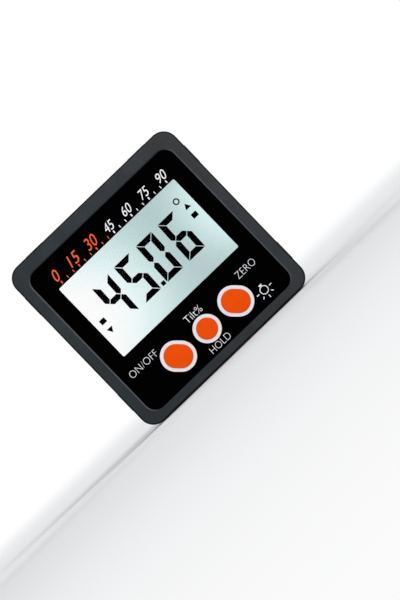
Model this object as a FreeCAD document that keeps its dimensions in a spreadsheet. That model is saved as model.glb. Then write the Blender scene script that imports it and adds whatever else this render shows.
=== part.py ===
import FreeCAD, Part
import math
import os
import Sketcher
from FreeCAD import Vector

# Digital inclinometer: a square instrument case that stands on two lands of its base. The front holds
# a liquid-crystal display and three keys, the back a battery door that slides up and off.
# Frame: X to the right, Y from the front to the back, Z up, the origin in the middle of the base.

SIZES = {
    # Case, over the lands that stand proud of its four sides
    "overall_width": 58.4,
    "overall_height": 56.4,
    "overall_depth": 28.0,
    "corner_radius": 4.2,
    "wall": 2.0,
    "edge_round": 0.7,
    "seam_chamfer": 0.2,
    "front_case_depth": 19.85,
    "joint_lip": 1.0,
    "lip_wall": 0.9,
    "lip_gap": 0.05,
    # Lands, two on each side, and the magnets in them
    "land_height": 0.2,
    "land_width": 6.0,
    "land_length": 14.0,
    "land_inset": 10.6,
    "land_setback": 4.2,
    "magnet_diameter": 5.0,
    "magnet_thickness": 2.5,
    "magnet_spacing": 7.2,
    "magnet_sink": 0.05,
    "magnet_gap": 0.03,
    "magnet_floor": 0.85,
    "rib_margin": 0.3,
    # Screws that hold the rear case to posts in the front case
    "post_size": 4.8,
    "screw_diameter": 2.0,
    "screw_length": 12.0,
    "screw_head_diameter": 3.8,
    "screw_head_height": 1.3,
    "screw_head_sink": 0.8,
    "screw_head_round": 0.3,
    "screw_gap": 0.1,
    "thread_gap": 0.02,
    "screw_slot_width": 0.6,
    "screw_slot_length": 2.4,
    "screw_slot_depth": 0.7,
    # Front panel in its recess
    "border_side": 3.55,
    "border_top": 4.2,
    "border_bottom": 2.95,
    "panel_corner": 3.3,
    "panel_gap": 0.06,
    "panel_recess": 0.25,
    "panel_thickness": 1.5,
    "panel_chamfer": 0.12,
    "recess_chamfer": 0.3,
    "tape_thickness": 0.15,
    "tape_margin": 0.8,
    "front_wall": 1.5,
    # Display window, pushed into the panel from behind
    "window_width": 41.8,
    "window_height": 24.65,
    "window_low": 19.6,
    "window_corner": 0.4,
    "window_gap": 0.03,
    "window_flange": 1.4,
    "flange_thickness": 0.7,
    # Display stack
    "aperture_margin": 0.3,
    "gasket_thickness": 0.3,
    "polariser_thickness": 0.2,
    "polariser_inset": 0.3,
    "glass_thickness": 0.7,
    "crystal_gap": 0.1,
    "layer_play": 0.01,
    "seal_width": 0.8,
    "glass_side_margin": 2.0,
    "glass_margin": 1.6,
    "contact_ledge": 2.0,
    "light_guide_thickness": 2.0,
    "reflector_thickness": 0.2,
    "foam_thickness": 0.5,
    "holder_gap": 0.1,
    "holder_wall": 0.9,
    "zebra_width": 1.4,
    "zebra_inset": 2.5,
    "led_width": 1.3,
    "led_height": 3.0,
    "led_spacing": 11.0,
    # Figures and marks of the display
    "digit_height": 12.68,
    "digit_width": 5.75,
    "digit_pitch": 8.02,
    "digit_low": 25.77,
    "digit_slant": 1.8,
    "stroke": 1.69,
    "stroke_gap": 0.13,
    "point_size": 1.18,
    "degree_radius": 0.92,
    "degree_wall": 0.36,
    "degree_across": 17.3,
    "degree_up": 39.53,
    "square_width": 1.72,
    "square_height": 1.42,
    "arrow_width": 1.85,
    "arrow_height": 1.55,
    "mark_across": 18.48,
    "square_up": 1.75,
    "arrow_up": 4.9,
    # Keys and their white bezel
    "key_level": 9.8,
    "key_pitch": 10.45,
    "key_slope": 45.0,
    "long_key_length": 7.75,
    "long_key_width": 6.2,
    "round_key_diameter": 5.7,
    "key_round": 0.25,
    "key_gap": 0.06,
    "key_proud": 0.15,
    "key_travel": 0.25,
    "key_flange": 0.7,
    "key_flange_thickness": 0.7,
    "ring_width": 0.94,
    "ring_proud": 0.1,
    "bezel_thickness": 1.0,
    "bezel_margin": 0.8,
    "wall_clearance": 0.15,
    "seat_gap": 0.05,
    # Key switches on the board
    "switch_size": 6.0,
    "switch_height": 3.3,
    "plunger_diameter": 3.4,
    "plunger_reach": 1.2,
    "plunger_gap": 0.06,
    # Main board and what is on it
    "board_thickness": 1.6,
    "board_gap": 0.5,
    "boss_diameter": 4.0,
    "lower_boss_across": 19.0,
    "lower_boss_up": 13.4,
    "upper_boss_across": 12.0,
    "upper_boss_drop": 5.1,
    "board_screw_diameter": 1.6,
    "board_screw_length": 5.2,
    "board_screw_head_diameter": 3.0,
    "board_screw_head_height": 0.9,
    "board_screw_head_round": 0.25,
    "board_screw_slot_width": 0.5,
    "board_screw_slot_length": 1.8,
    "board_screw_slot_depth": 0.5,
    "chip_size": 9.0,
    "chip_height": 1.4,
    "chip_across": -18.0,
    "chip_up": 33.0,
    "sensor_size": 5.0,
    "sensor_height": 1.8,
    "sensor_across": 18.0,
    "sensor_up": 27.0,
    "crystal_diameter": 2.0,
    "crystal_length": 6.0,
    "crystal_across": 18.0,
    "crystal_up": 34.0,
    "capacitor_width": 1.6,
    "capacitor_height": 0.8,
    "capacitor_pitch": 3.2,
    "capacitor_across": 18.0,
    "capacitor_up": 16.0,
    # Battery bay, cells and contacts
    "cell_diameter": 10.5,
    "cell_length": 44.5,
    "cell_pitch": 11.2,
    "cell_gap": 0.35,
    "cell_round": 0.5,
    "tip_diameter": 3.8,
    "tip_height": 1.0,
    "bay_wall": 1.2,
    "bay_gap": 0.3,
    "spring_room": 3.7,
    "spring_wire": 0.5,
    "spring_turns": 4.0,
    "spring_radius": 3.4,
    "spring_taper": 14.0,
    "spring_clearance": 0.08,
    "contact_thickness": 0.3,
    "contact_half_width": 4.5,
    "contact_tail_width": 2.0,
    "contact_margin": 0.3,
    # Battery door in its rails
    "door_thickness": 1.7,
    "door_overlap": 0.6,
    "door_tongue": 1.2,
    "tongue_thickness": 0.85,
    "door_gap": 0.1,
    "door_sill": 0.4,
    "rail_margin": 1.5,
    "rail_floor": 1.0,
    "door_back_gap": 0.6,
    "grip_count": 5.0,
    "grip_pitch": 1.5,
    "grip_width": 0.7,
    "grip_length": 15.0,
    "grip_depth": 0.35,
    "grip_drop": 4.5,
}

doc = FreeCAD.newDocument("digital_inclinometer")
sheet = doc.addObject("Spreadsheet::Sheet", "size")
for row, (word, length) in enumerate(SIZES.items(), start=1):
    sheet.set(f"A{row}", word)
    sheet.set(f"B{row}", str(length))
    sheet.setAlias(f"B{row}", word)
doc.recompute()

# Places along Y, from the crown of the keys at the front to the back face
CROWN = "(-size.overall_depth / 2)"
BACK = "(size.overall_depth / 2)"
FRAME_FACE = f"({CROWN} + size.key_proud)"
PARTING = f"({FRAME_FACE} + size.front_case_depth)"
LIP_FRONT = f"({PARTING} - size.joint_lip)"
POST_END = f"({LIP_FRONT} - size.bay_gap)"
PANEL_FACE = f"({FRAME_FACE} + size.panel_recess)"
PANEL_BACK = f"({PANEL_FACE} + size.panel_thickness)"
WALL_FACE = f"({PANEL_BACK} + size.tape_thickness)"
WALL_BACK = f"({WALL_FACE} + size.front_wall)"
LAND_FRONT = f"({FRAME_FACE} + size.land_setback)"
LAND_BACK = f"({LAND_FRONT} + size.land_length)"
LAND_MIDDLE = f"({LAND_FRONT} + size.land_length / 2)"

# Display stack, from the front wall to the board
POLARISER_FACE = f"({WALL_BACK} + size.gasket_thickness)"
FRONT_GLASS = f"({POLARISER_FACE} + size.polariser_thickness)"
CRYSTAL_FACE = f"({FRONT_GLASS} + size.glass_thickness)"
REAR_GLASS = f"({CRYSTAL_FACE} + size.crystal_gap)"
LIT_FACE = f"({CRYSTAL_FACE} + size.layer_play)"
LIT_DEPTH = "(size.crystal_gap - 2 * size.layer_play)"
REAR_POLARISER = f"({REAR_GLASS} + size.glass_thickness)"
LIGHT_GUIDE = f"({REAR_POLARISER} + size.polariser_thickness)"
REFLECTOR = f"({LIGHT_GUIDE} + size.light_guide_thickness)"
FOAM_PAD = f"({REFLECTOR} + size.reflector_thickness)"
BOARD_FACE = f"({FOAM_PAD} + size.foam_thickness)"
BOARD_BACK = f"({BOARD_FACE} + size.board_thickness)"

# Keys
RING_FACE = f"({PANEL_FACE} - size.ring_proud)"
BEZEL_BACK = f"({PANEL_BACK} + size.bezel_thickness)"
KEY_FLANGE = f"({WALL_BACK} + size.seat_gap)"
KEY_BACK = f"({KEY_FLANGE} + size.key_flange_thickness)"
SWITCH_TOP = f"({BOARD_FACE} - size.switch_height)"
PLUNGER_END = f"({SWITCH_TOP} + size.plunger_reach)"
PLUNGER_WELL = f"({PLUNGER_END} + size.key_travel + size.seat_gap)"

# Battery bay
CELL_RADIUS = "(size.cell_diameter / 2)"
DOOR_FRONT = f"({BACK} - size.door_thickness)"
TONGUE_BACK = f"({DOOR_FRONT} + size.tongue_thickness)"
GROOVE_FRONT = f"({DOOR_FRONT} - size.door_gap)"
GROOVE_BACK = f"({TONGUE_BACK} + size.door_gap)"
CELL_AXIS = f"({DOOR_FRONT} - size.door_back_gap - {CELL_RADIUS})"
BAY_FLOOR = f"({CELL_AXIS} - {CELL_RADIUS} - size.cell_gap)"
BAY_FRONT = f"({BAY_FLOOR} - size.bay_wall)"

# Places along X and Z
HALF_WIDTH = "(size.overall_width / 2)"
SIDE = f"({HALF_WIDTH} - size.land_height)"
LOW = "size.land_height"
HIGH = "(size.overall_height - size.land_height)"
INNER_SIDE = f"({SIDE} - size.wall)"
INNER_LOW = f"({LOW} + size.wall)"
INNER_HIGH = f"({HIGH} - size.wall)"
INNER_CORNER = "(size.corner_radius - size.wall)"
LAND_ACROSS = f"({HALF_WIDTH} - size.land_inset)"
LAND_TOP = "(size.overall_height - size.land_inset)"
MAGNET_DEPTH = "(size.magnet_sink + size.magnet_thickness)"
RIB_DEPTH = f"({MAGNET_DEPTH} + size.magnet_floor)"
POST_MIDDLE = f"({INNER_SIDE} - size.post_size / 2)"
PANEL_SIDE = f"({HALF_WIDTH} - size.border_side)"
PANEL_LOW = "size.border_bottom"
PANEL_HIGH = "(size.overall_height - size.border_top)"
WINDOW_SIDE = "(size.window_width / 2)"
WINDOW_LOW = "size.window_low"
WINDOW_HIGH = "(size.window_low + size.window_height)"
GLASS_SIDE = f"({WINDOW_SIDE} + size.glass_side_margin)"
GLASS_LOW = f"({WINDOW_LOW} - size.glass_margin)"
GLASS_HIGH = f"({WINDOW_HIGH} + size.glass_margin)"
LEDGE_HIGH = f"({GLASS_HIGH} + size.contact_ledge)"
HOLDER_GAP = "size.holder_gap"
LED_EDGE = f"(-{GLASS_SIDE} + size.led_width)"
BOARD_SIDE = f"({HALF_WIDTH} - {RIB_DEPTH} - size.board_gap)"
BOARD_NECK = f"({LAND_ACROSS} - size.land_width / 2 - size.rib_margin - size.board_gap)"
BOARD_LOW = f"({INNER_LOW} + size.board_gap)"
BOARD_HIGH = f"({INNER_HIGH} - size.board_gap)"
SHOULDER_LOW = f"({INNER_LOW} + size.post_size + size.board_gap)"
SHOULDER_HIGH = f"({INNER_HIGH} - size.post_size - size.board_gap)"
UPPER_BOSS = "(size.overall_height - size.upper_boss_drop)"
BAY_SIDE = f"(size.cell_pitch / 2 + {CELL_RADIUS} + size.cell_gap)"
BAY_HALF_LENGTH = "((size.cell_length + size.spring_room) / 2 + size.contact_thickness)"
BAY_LOW = f"(size.overall_height / 2 - {BAY_HALF_LENGTH})"
BAY_HIGH = f"(size.overall_height / 2 + {BAY_HALF_LENGTH})"
DOOR_SIDE = f"({BAY_SIDE} + size.door_overlap)"
TONGUE_SIDE = f"({DOOR_SIDE} + size.door_tongue)"
CHANNEL_LOW = f"({BAY_LOW} - size.door_sill)"

SIGNS = ("-1", "1")
PLANES = {"X": "YZ_Plane", "Y": "XZ_Plane", "Z": "XY_Plane"}
TOUCH = 1e-4
parts = []


def number(expression):
    """The value of a size expression."""
    return float(sheet.evalExpression(expression))


def tie(sketch, expression, *constraint):
    """Add a sketch dimension that follows a size expression."""
    index = sketch.addConstraint(Sketcher.Constraint(*constraint, number(expression)))
    sketch.setExpression(f"Constraints[{index}]", expression)


def place_point(sketch, curve, point, across, up):
    """Tie one point of a curve to a place in the sketch."""
    tie(sketch, across, "DistanceX", -1, 1, curve, point)
    tie(sketch, up, "DistanceY", -1, 1, curve, point)


def polygon(*corners):
    """An outline through corners given as pairs of expressions."""
    def draw(sketch):
        points = [Vector(number(across), number(up)) for across, up in corners]
        first = sketch.GeometryCount
        count = len(points)
        for index in range(count):
            sketch.addGeometry(Part.LineSegment(points[index], points[(index + 1) % count]), False)
        for index in range(count):
            joined = first + (index + 1) % count
            sketch.addConstraint(Sketcher.Constraint("Coincident", first + index, 2, joined, 1))
            place_point(sketch, first + index, 1, *corners[index])
    return draw


def rectangle(left, right, low, high):
    """A rectangular outline between four expressions."""
    return polygon((left, low), (right, low), (right, high), (left, high))


def circle(across, up, radius):
    """A round outline."""
    def draw(sketch):
        centre = Vector(number(across), number(up))
        index = sketch.addGeometry(Part.Circle(centre, Vector(0, 0, 1), number(radius)), False)
        place_point(sketch, index, 3, across, up)
        tie(sketch, radius, "Radius", index)
    return draw


def rounded(left, right, low, high, radius):
    """A rectangular outline with round corners, given by the centres of its four arcs."""
    inset = f"({radius})"
    corners = (
        (f"({right}) - {inset}", f"({high}) - {inset}", 0),
        (f"({left}) + {inset}", f"({high}) - {inset}", 90),
        (f"({left}) + {inset}", f"({low}) + {inset}", 180),
        (f"({right}) - {inset}", f"({low}) + {inset}", 270),
    )
    return hull(corners, 90, radius)


def slot(across, up, half_run, radius):
    """A round-ended outline whose long axis falls to the right by the slope of the long keys."""
    run = f"({half_run}) * cos(size.key_slope)"
    rise = f"({half_run}) * sin(size.key_slope)"
    slope = number("size.key_slope")
    ends = (
        (f"({across}) + {run}", f"({up}) - {rise}", 270 - slope),
        (f"({across}) - {run}", f"({up}) + {rise}", 90 - slope),
    )
    return hull(ends, 180, radius)


def hull(centres, sweep, radius):
    """An outline of equal arcs about the centres, anticlockwise, joined by tangent lines."""
    def draw(sketch):
        reach = number(radius)
        first = sketch.GeometryCount
        count = len(centres)
        arcs = []
        for across, up, start in centres:
            ring = Part.Circle(Vector(number(across), number(up)), Vector(0, 0, 1), reach)
            arcs.append(Part.ArcOfCircle(ring, math.radians(start), math.radians(start + sweep)))
        for arc in arcs:
            sketch.addGeometry(arc, False)
        for index in range(count):
            following = (index + 1) % count
            line = Part.LineSegment(arcs[index].EndPoint, arcs[following].StartPoint)
            sketch.addGeometry(line, False)
        for index, (across, up, start) in enumerate(centres):
            following = (index + 1) % count
            line = first + count + index
            sketch.addConstraint(Sketcher.Constraint("Tangent", first + index, 2, line, 1))
            sketch.addConstraint(Sketcher.Constraint("Tangent", line, 2, first + following, 1))
            place_point(sketch, first + index, 3, across, up)
            if index:
                sketch.addConstraint(Sketcher.Constraint("Equal", first, first + index))
        tie(sketch, radius, "Radius", first)
    return draw


def new_body(label):
    """An empty body that becomes one sub-part."""
    body = doc.addObject("PartDesign::Body", label)
    body.Label = label
    parts.append(body)
    return body


def slab(body, name, outlines, start, end, axis="Y", cut=False):
    """Add, or cut away, the outlines between two places along an axis of the frame."""
    before = body.Shape.Volume if body.Tip else 0.0
    plane = next(item for item in body.Origin.OriginFeatures if item.Role == PLANES[axis])
    sketch = body.newObject("Sketcher::SketchObject", f"{name}_outline")
    sketch.AttachmentSupport = [(plane, "")]
    sketch.MapMode = "FlatFace"
    # The XZ plane faces the front, so a place along Y is an offset the other way
    turned = axis == "Y"
    sketch.setExpression("AttachmentOffset.Base.z", f"-({start})" if turned else start)
    for draw in outlines:
        draw(sketch)
    feature = body.newObject("PartDesign::Pocket" if cut else "PartDesign::Pad", name)
    feature.Profile = sketch
    feature.Reversed = turned != cut
    feature.setExpression("Length", f"({end}) - ({start})")
    doc.recompute()
    change = body.Shape.Volume - before
    if change * (-1 if cut else 1) <= 0:
        raise RuntimeError(f"{body.Label}: {name} changes nothing")


def soften(body, kind, size, wanted):
    """Round or chamfer the edges whose bounding box passes the test."""
    names = []
    for index, edge in enumerate(body.Shape.Edges, start=1):
        if wanted(edge.BoundBox):
            names.append(f"Edge{index}")
    base = body.Tip
    feature = body.newObject(f"PartDesign::{kind}", f"{kind.lower()}_{len(names)}_edges")
    feature.Base = (base, names)
    feature.setExpression("Radius" if kind == "Fillet" else "Size", size)
    doc.recompute()


def lies_at(depth):
    """A test for edges that lie in the plane across Y at a depth."""
    place = number(depth)
    return lambda box: abs(box.YMin - place) < TOUCH and abs(box.YMax - place) < TOUCH


def plate(label, outlines, front, back):
    """A sub-part of one thickness between two depths."""
    body = new_body(label)
    slab(body, f"{label}_plate", outlines, front, back)
    return body


def case_outline():
    return rounded(f"-{SIDE}", SIDE, LOW, HIGH, "size.corner_radius")


def cavity_outline(shrink="0"):
    """The inside of the case, or the same drawn smaller by a distance all round."""
    return rounded(f"-{INNER_SIDE} + {shrink}", f"{INNER_SIDE} - {shrink}", f"{INNER_LOW} + {shrink}",
                   f"{INNER_HIGH} - {shrink}", f"{INNER_CORNER} - {shrink}")


def corner_places(across, up, drop):
    """Four places, mirrored left to right, at a height and at a drop from the top."""
    return [(f"{sign} * {across}", level) for sign in SIGNS for level in (up, drop)]


POST_PLACES = corner_places(POST_MIDDLE, f"({INNER_LOW} + size.post_size / 2)",
                            f"({INNER_HIGH} - size.post_size / 2)")
BOSS_PLACES = [(f"{sign} * size.lower_boss_across", "size.lower_boss_up") for sign in SIGNS]
BOSS_PLACES += [(f"{sign} * size.upper_boss_across", UPPER_BOSS) for sign in SIGNS]


def post_outlines():
    """The four square corner posts, each filling the inside corner of the case."""
    half = "size.post_size / 2"
    return [rectangle(f"{x} - {half}", f"{x} + {half}", f"{z} - {half}", f"{z} + {half}")
            for x, z in POST_PLACES]


def post_tip_outlines():
    """The rear posts where they stand inside the front shell, clear of its walls and round corners."""
    reach = "(size.post_size / 2 - size.lip_gap)"
    return [rounded(f"{x} - {reach}", f"{x} + {reach}", f"{z} - {reach}", f"{z} + {reach}",
                    f"{INNER_CORNER} - size.lip_gap") for x, z in POST_PLACES]


def circles(places, radius):
    return [circle(x, z, radius) for x, z in places]


def side_blocks(near, far, half):
    """Eight outlines, two on each side of the case, between two distances in from its faces."""
    blocks = []
    for sign in SIGNS:
        left = f"{sign} * {LAND_ACROSS} - {half}"
        right = f"{sign} * {LAND_ACROSS} + {half}"
        blocks.append(rectangle(left, right, near, far))
        blocks.append(rectangle(left, right, f"size.overall_height - {far}", f"size.overall_height - {near}"))
    for level in ("size.land_inset", LAND_TOP):
        low = f"{level} - {half}"
        high = f"{level} + {half}"
        blocks.append(rectangle(f"-{HALF_WIDTH} + {near}", f"-{HALF_WIDTH} + {far}", low, high))
        blocks.append(rectangle(f"{HALF_WIDTH} - {far}", f"{HALF_WIDTH} - {near}", low, high))
    return blocks


# For each side of the case: the axis that its magnets lie along, its face, the way in, and where its
# two lands are across it
MAGNET_SIDES = {
    "base": ("Z", "0", 1, (f"-{LAND_ACROSS}", LAND_ACROSS)),
    "top": ("Z", "size.overall_height", -1, (f"-{LAND_ACROSS}", LAND_ACROSS)),
    "left": ("X", f"-{HALF_WIDTH}", 1, ("size.land_inset", LAND_TOP)),
    "right": ("X", HALF_WIDTH, -1, ("size.land_inset", LAND_TOP)),
}


def magnet_slab(body, name, side, near, radius, cut=False):
    """The four discs of one side, from a distance in from its face to the magnets' inner ends."""
    axis, face, inward, lands = MAGNET_SIDES[side]
    ends = [f"{face} + {inward} * {near}", f"{face} + {inward} * {MAGNET_DEPTH}"]
    start, end = ends[::inward]
    discs = []
    for land in lands:
        for sign in SIGNS:
            depth = f"{LAND_MIDDLE} + {sign} * size.magnet_spacing / 2"
            discs.append(circle(land, depth, radius) if axis == "Z" else circle(depth, land, radius))
    slab(body, name, discs, start, end, axis, cut)


def front_case():
    """The deep front shell: frame, front wall, posts, bosses, lands and magnet pockets."""
    body = new_body("front_case")
    slab(body, "shell", [case_outline()], FRAME_FACE, PARTING)
    soften(body, "Fillet", "size.edge_round", lies_at(FRAME_FACE))
    soften(body, "Chamfer", "size.seam_chamfer", lies_at(PARTING))
    slab(body, "cavity", [cavity_outline()], WALL_BACK, PARTING, cut=True)
    recess = rounded(f"-{PANEL_SIDE}", PANEL_SIDE, PANEL_LOW, PANEL_HIGH, "size.panel_corner")
    slab(body, "panel_recess", [recess], FRAME_FACE, WALL_FACE, cut=True)
    at_face = lies_at(FRAME_FACE)
    rim = number(PANEL_SIDE) + TOUCH
    soften(body, "Chamfer", "size.recess_chamfer", lambda box: at_face(box) and abs(box.XMax) < rim)
    slab(body, "display_aperture", [aperture_outline()], WALL_FACE, WALL_BACK, cut=True)
    slab(body, "bezel_recess", [bezel_plate_outline("size.wall_clearance")], WALL_FACE, BEZEL_BACK, cut=True)
    openings = [key_outline(key, "size.wall_clearance") for key in KEYS]
    slab(body, "key_openings", openings, BEZEL_BACK, WALL_BACK, cut=True)
    slab(body, "corner_posts", post_outlines(), WALL_BACK, POST_END)
    slab(body, "board_bosses", circles(BOSS_PLACES, "size.boss_diameter / 2"), WALL_BACK, BOARD_FACE)
    slab(body, "post_pilots", circles(POST_PLACES, "size.screw_diameter / 2 + size.thread_gap"),
         SCREW_END, POST_END, cut=True)
    slab(body, "boss_pilots", circles(BOSS_PLACES, "size.board_screw_diameter / 2 + size.thread_gap"),
         BOARD_SCREW_END, BOARD_FACE, cut=True)
    slab(body, "lands", side_blocks("0", "size.land_height", "size.land_width / 2"), LAND_FRONT, LAND_BACK)
    ribs = side_blocks("(size.land_height + size.wall)", RIB_DEPTH, "(size.land_width / 2 + size.rib_margin)")
    slab(body, "magnet_ribs", ribs, LAND_FRONT, LAND_BACK)
    for side in MAGNET_SIDES:
        magnet_slab(body, f"{side}_pockets", side, "0", "size.magnet_diameter / 2 + size.magnet_gap", cut=True)


def magnets():
    """Nickel-plated discs glued into the lands, four to a side."""
    for side in MAGNET_SIDES:
        body = new_body(f"{side}_magnets")
        magnet_slab(body, f"{side}_discs", side, "size.magnet_sink", "size.magnet_diameter / 2")


HEAD_FRONT = f"({BACK} - size.screw_head_sink - size.screw_head_height)"
SCREW_END = f"({HEAD_FRONT} - size.screw_length)"
BOARD_SCREW_END = f"({BOARD_BACK} - size.board_screw_length)"


def rear_case():
    """The shallow rear shell with the battery bay, the door rails and the screw wells."""
    body = new_body("rear_case")
    slab(body, "shell", [case_outline()], PARTING, BACK)
    soften(body, "Fillet", "size.edge_round", lies_at(BACK))
    soften(body, "Chamfer", "size.seam_chamfer", lies_at(PARTING))
    slab(body, "cavity", [cavity_outline()], PARTING, f"{BACK} - size.wall", cut=True)
    lip_inner = cavity_outline("(size.lip_gap + size.lip_wall)")
    slab(body, "joint_lip", [cavity_outline("size.lip_gap"), lip_inner], LIP_FRONT, PARTING)
    slab(body, "lip_root", [cavity_outline("0"), lip_inner], PARTING, f"{PARTING} + size.joint_lip")
    slab(body, "corner_posts", post_outlines(), PARTING, f"{BACK} - size.wall")
    slab(body, "post_tips", post_tip_outlines(), POST_END, PARTING)
    bay_side = f"({BAY_SIDE} + size.bay_wall)"
    tub = rectangle(f"-{bay_side}", bay_side, f"{INNER_LOW} + size.bay_gap", f"{INNER_HIGH} - size.bay_gap")
    slab(body, "bay_tub", [tub], BAY_FRONT, f"{BACK} - size.wall")
    rail_side = f"({TONGUE_SIDE} + size.rail_margin)"
    rails = rectangle(f"-{rail_side}", rail_side, INNER_LOW, INNER_HIGH)
    slab(body, "door_rails", [rails], f"{GROOVE_FRONT} - size.rail_floor", f"{BACK} - size.wall")
    bay = rectangle(f"-{BAY_SIDE}", BAY_SIDE, BAY_LOW, BAY_HIGH)
    slab(body, "bay", [bay], BAY_FLOOR, BACK, cut=True)
    groove_side = f"({TONGUE_SIDE} + size.door_gap)"
    above = "(size.overall_height + size.wall)"
    groove = rectangle(f"-{groove_side}", groove_side, CHANNEL_LOW, above)
    slab(body, "door_groove", [groove], GROOVE_FRONT, GROOVE_BACK, cut=True)
    mouth_side = f"({DOOR_SIDE} + size.door_gap)"
    mouth = rectangle(f"-{mouth_side}", mouth_side, CHANNEL_LOW, above)
    slab(body, "door_mouth", [mouth], GROOVE_BACK, BACK, cut=True)
    tails = [rectangle(f"{sign} * size.cell_pitch / 2 - {TAIL_HALF} - size.door_gap",
                       f"{sign} * size.cell_pitch / 2 + {TAIL_HALF} + size.door_gap",
                       BAY_LOW, f"{BAY_LOW} + size.contact_thickness + size.door_gap") for sign in SIGNS]
    slab(body, "tail_slots", tails, BAY_FRONT, BAY_FLOOR, cut=True)
    slab(body, "screw_holes", circles(POST_PLACES, "size.screw_diameter / 2 + size.screw_gap"),
         POST_END, HEAD_FRONT, cut=True)
    slab(body, "screw_wells", circles(POST_PLACES, "size.screw_head_diameter / 2 + size.screw_gap"),
         HEAD_FRONT, BACK, cut=True)


def screws(label, places, end, head_front, prefix):
    """A group of screws with cross recesses, pointing to the front."""
    body = new_body(label)
    head_back = f"({head_front} + size.{prefix}_head_height)"
    slab(body, "shanks", circles(places, f"size.{prefix}_diameter / 2"), end, head_front)
    slab(body, "heads", circles(places, f"size.{prefix}_head_diameter / 2"), head_front, head_back)
    soften(body, "Fillet", f"size.{prefix}_head_round", lies_at(head_back))
    for name, wide, tall in (("slots_across", "length", "width"), ("slots_up", "width", "length")):
        half_wide = f"size.{prefix}_slot_{wide} / 2"
        half_tall = f"size.{prefix}_slot_{tall} / 2"
        bars = [rectangle(f"{x} - {half_wide}", f"{x} + {half_wide}", f"{z} - {half_tall}",
                          f"{z} + {half_tall}") for x, z in places]
        slab(body, name, bars, f"{head_back} - size.{prefix}_slot_depth", head_back, cut=True)


def battery_door():
    """A plate with a tongue down each side, and grip grooves near its upper end."""
    body = new_body("battery_door")
    low = f"({CHANNEL_LOW} + size.door_gap)"
    leaf = rectangle(f"-{DOOR_SIDE}", DOOR_SIDE, low, HIGH)
    slab(body, "leaf", [leaf], DOOR_FRONT, BACK)
    high = number(HIGH)
    at_back = lies_at(BACK)
    soften(body, "Fillet", "size.edge_round", lambda box: at_back(box) and abs(box.ZMin - high) < TOUCH)
    tongues = rectangle(f"-{TONGUE_SIDE}", TONGUE_SIDE, low, HIGH)
    slab(body, "tongues", [tongues], DOOR_FRONT, TONGUE_BACK)
    grips = []
    for index in range(int(number("size.grip_count"))):
        middle = f"({HIGH} - size.grip_drop - {index} * size.grip_pitch)"
        grips.append(rectangle("-size.grip_length / 2", "size.grip_length / 2",
                               f"{middle} - size.grip_width / 2", f"{middle} + size.grip_width / 2"))
    slab(body, "grips", grips, f"{BACK} - size.grip_depth", BACK, cut=True)


# The keys: where each stands across the panel, and whether it is long or round
KEYS = {
    "on_off": ("-size.key_pitch", "long"),
    "hold": ("0", "round"),
    "zero": ("size.key_pitch", "long"),
}


def key_outline(key, margin="0"):
    """The outline of a key, or of a hole or collar round it that is larger by a margin."""
    across, form = KEYS[key]
    if form == "round":
        return circle(across, "size.key_level", f"size.round_key_diameter / 2 + {margin}")
    run = "(size.long_key_length - size.long_key_width) / 2"
    return slot(across, "size.key_level", run, f"size.long_key_width / 2 + {margin}")


def bezel_plate_outline(margin="0"):
    """The plate behind the panel that joins the three collars."""
    reach = f"(size.long_key_length / 2 + size.ring_width + size.bezel_margin + {margin})"
    side = f"(size.key_pitch + {reach})"
    return rounded(f"-{side}", side, f"size.key_level - {reach}", f"size.key_level + {reach}",
                   f"size.panel_corner + {margin}")


COLLAR = "(size.key_gap + size.ring_width)"


def front_panel():
    """The black panel: a window opening with a rebate behind it, and a hole for each collar."""
    gap = "size.panel_gap"
    outline = rounded(f"-{PANEL_SIDE} + {gap}", f"{PANEL_SIDE} - {gap}", f"{PANEL_LOW} + {gap}",
                      f"{PANEL_HIGH} - {gap}", f"size.panel_corner - {gap}")
    body = plate("front_panel", [outline], PANEL_FACE, PANEL_BACK)
    soften(body, "Chamfer", "size.panel_chamfer", lies_at(PANEL_FACE))
    slab(body, "window_opening", [window_outline()], PANEL_FACE, PANEL_BACK, cut=True)
    slab(body, "window_rebate", [window_outline("size.window_flange")], FLANGE_FACE, PANEL_BACK, cut=True)
    collars = [key_outline(key, f"{COLLAR} + size.window_gap") for key in KEYS]
    slab(body, "collar_holes", collars, PANEL_FACE, PANEL_BACK, cut=True)


def window_outline(margin="0"):
    return rounded(f"-{WINDOW_SIDE} - {margin}", f"{WINDOW_SIDE} + {margin}", f"{WINDOW_LOW} - {margin}",
                   f"{WINDOW_HIGH} + {margin}", f"size.window_corner + {margin}")


FLANGE_FACE = f"({PANEL_BACK} - size.flange_thickness)"


def display_window():
    """The clear window, flush with the panel, with a flange behind the opening's edge."""
    body = plate("display_window", [window_outline("-size.window_gap")], PANEL_FACE, PANEL_BACK)
    flange = window_outline("(size.window_flange - size.window_gap)")
    slab(body, "flange", [flange], FLANGE_FACE, PANEL_BACK)


def aperture_outline():
    """The opening in the front wall that the display is seen through."""
    margin = "size.aperture_margin"
    return rectangle(f"-{WINDOW_SIDE} - {margin}", f"{WINDOW_SIDE} + {margin}", f"{WINDOW_LOW} - {margin}",
                     f"{WINDOW_HIGH} + {margin}")


def panel_tape():
    """Adhesive between the panel and the front wall, open at the display and at the bezel."""
    gap = "size.tape_margin"
    outline = rounded(f"-{PANEL_SIDE} + {gap}", f"{PANEL_SIDE} - {gap}", f"{PANEL_LOW} + {gap}",
                      f"{PANEL_HIGH} - {gap}", f"size.panel_corner - {gap}")
    body = plate("panel_tape", [outline], PANEL_BACK, WALL_FACE)
    slab(body, "display_opening", [aperture_outline()], PANEL_BACK, WALL_FACE, cut=True)
    opening = bezel_plate_outline("size.wall_clearance")
    slab(body, "bezel_opening", [opening], PANEL_BACK, WALL_FACE, cut=True)


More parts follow.
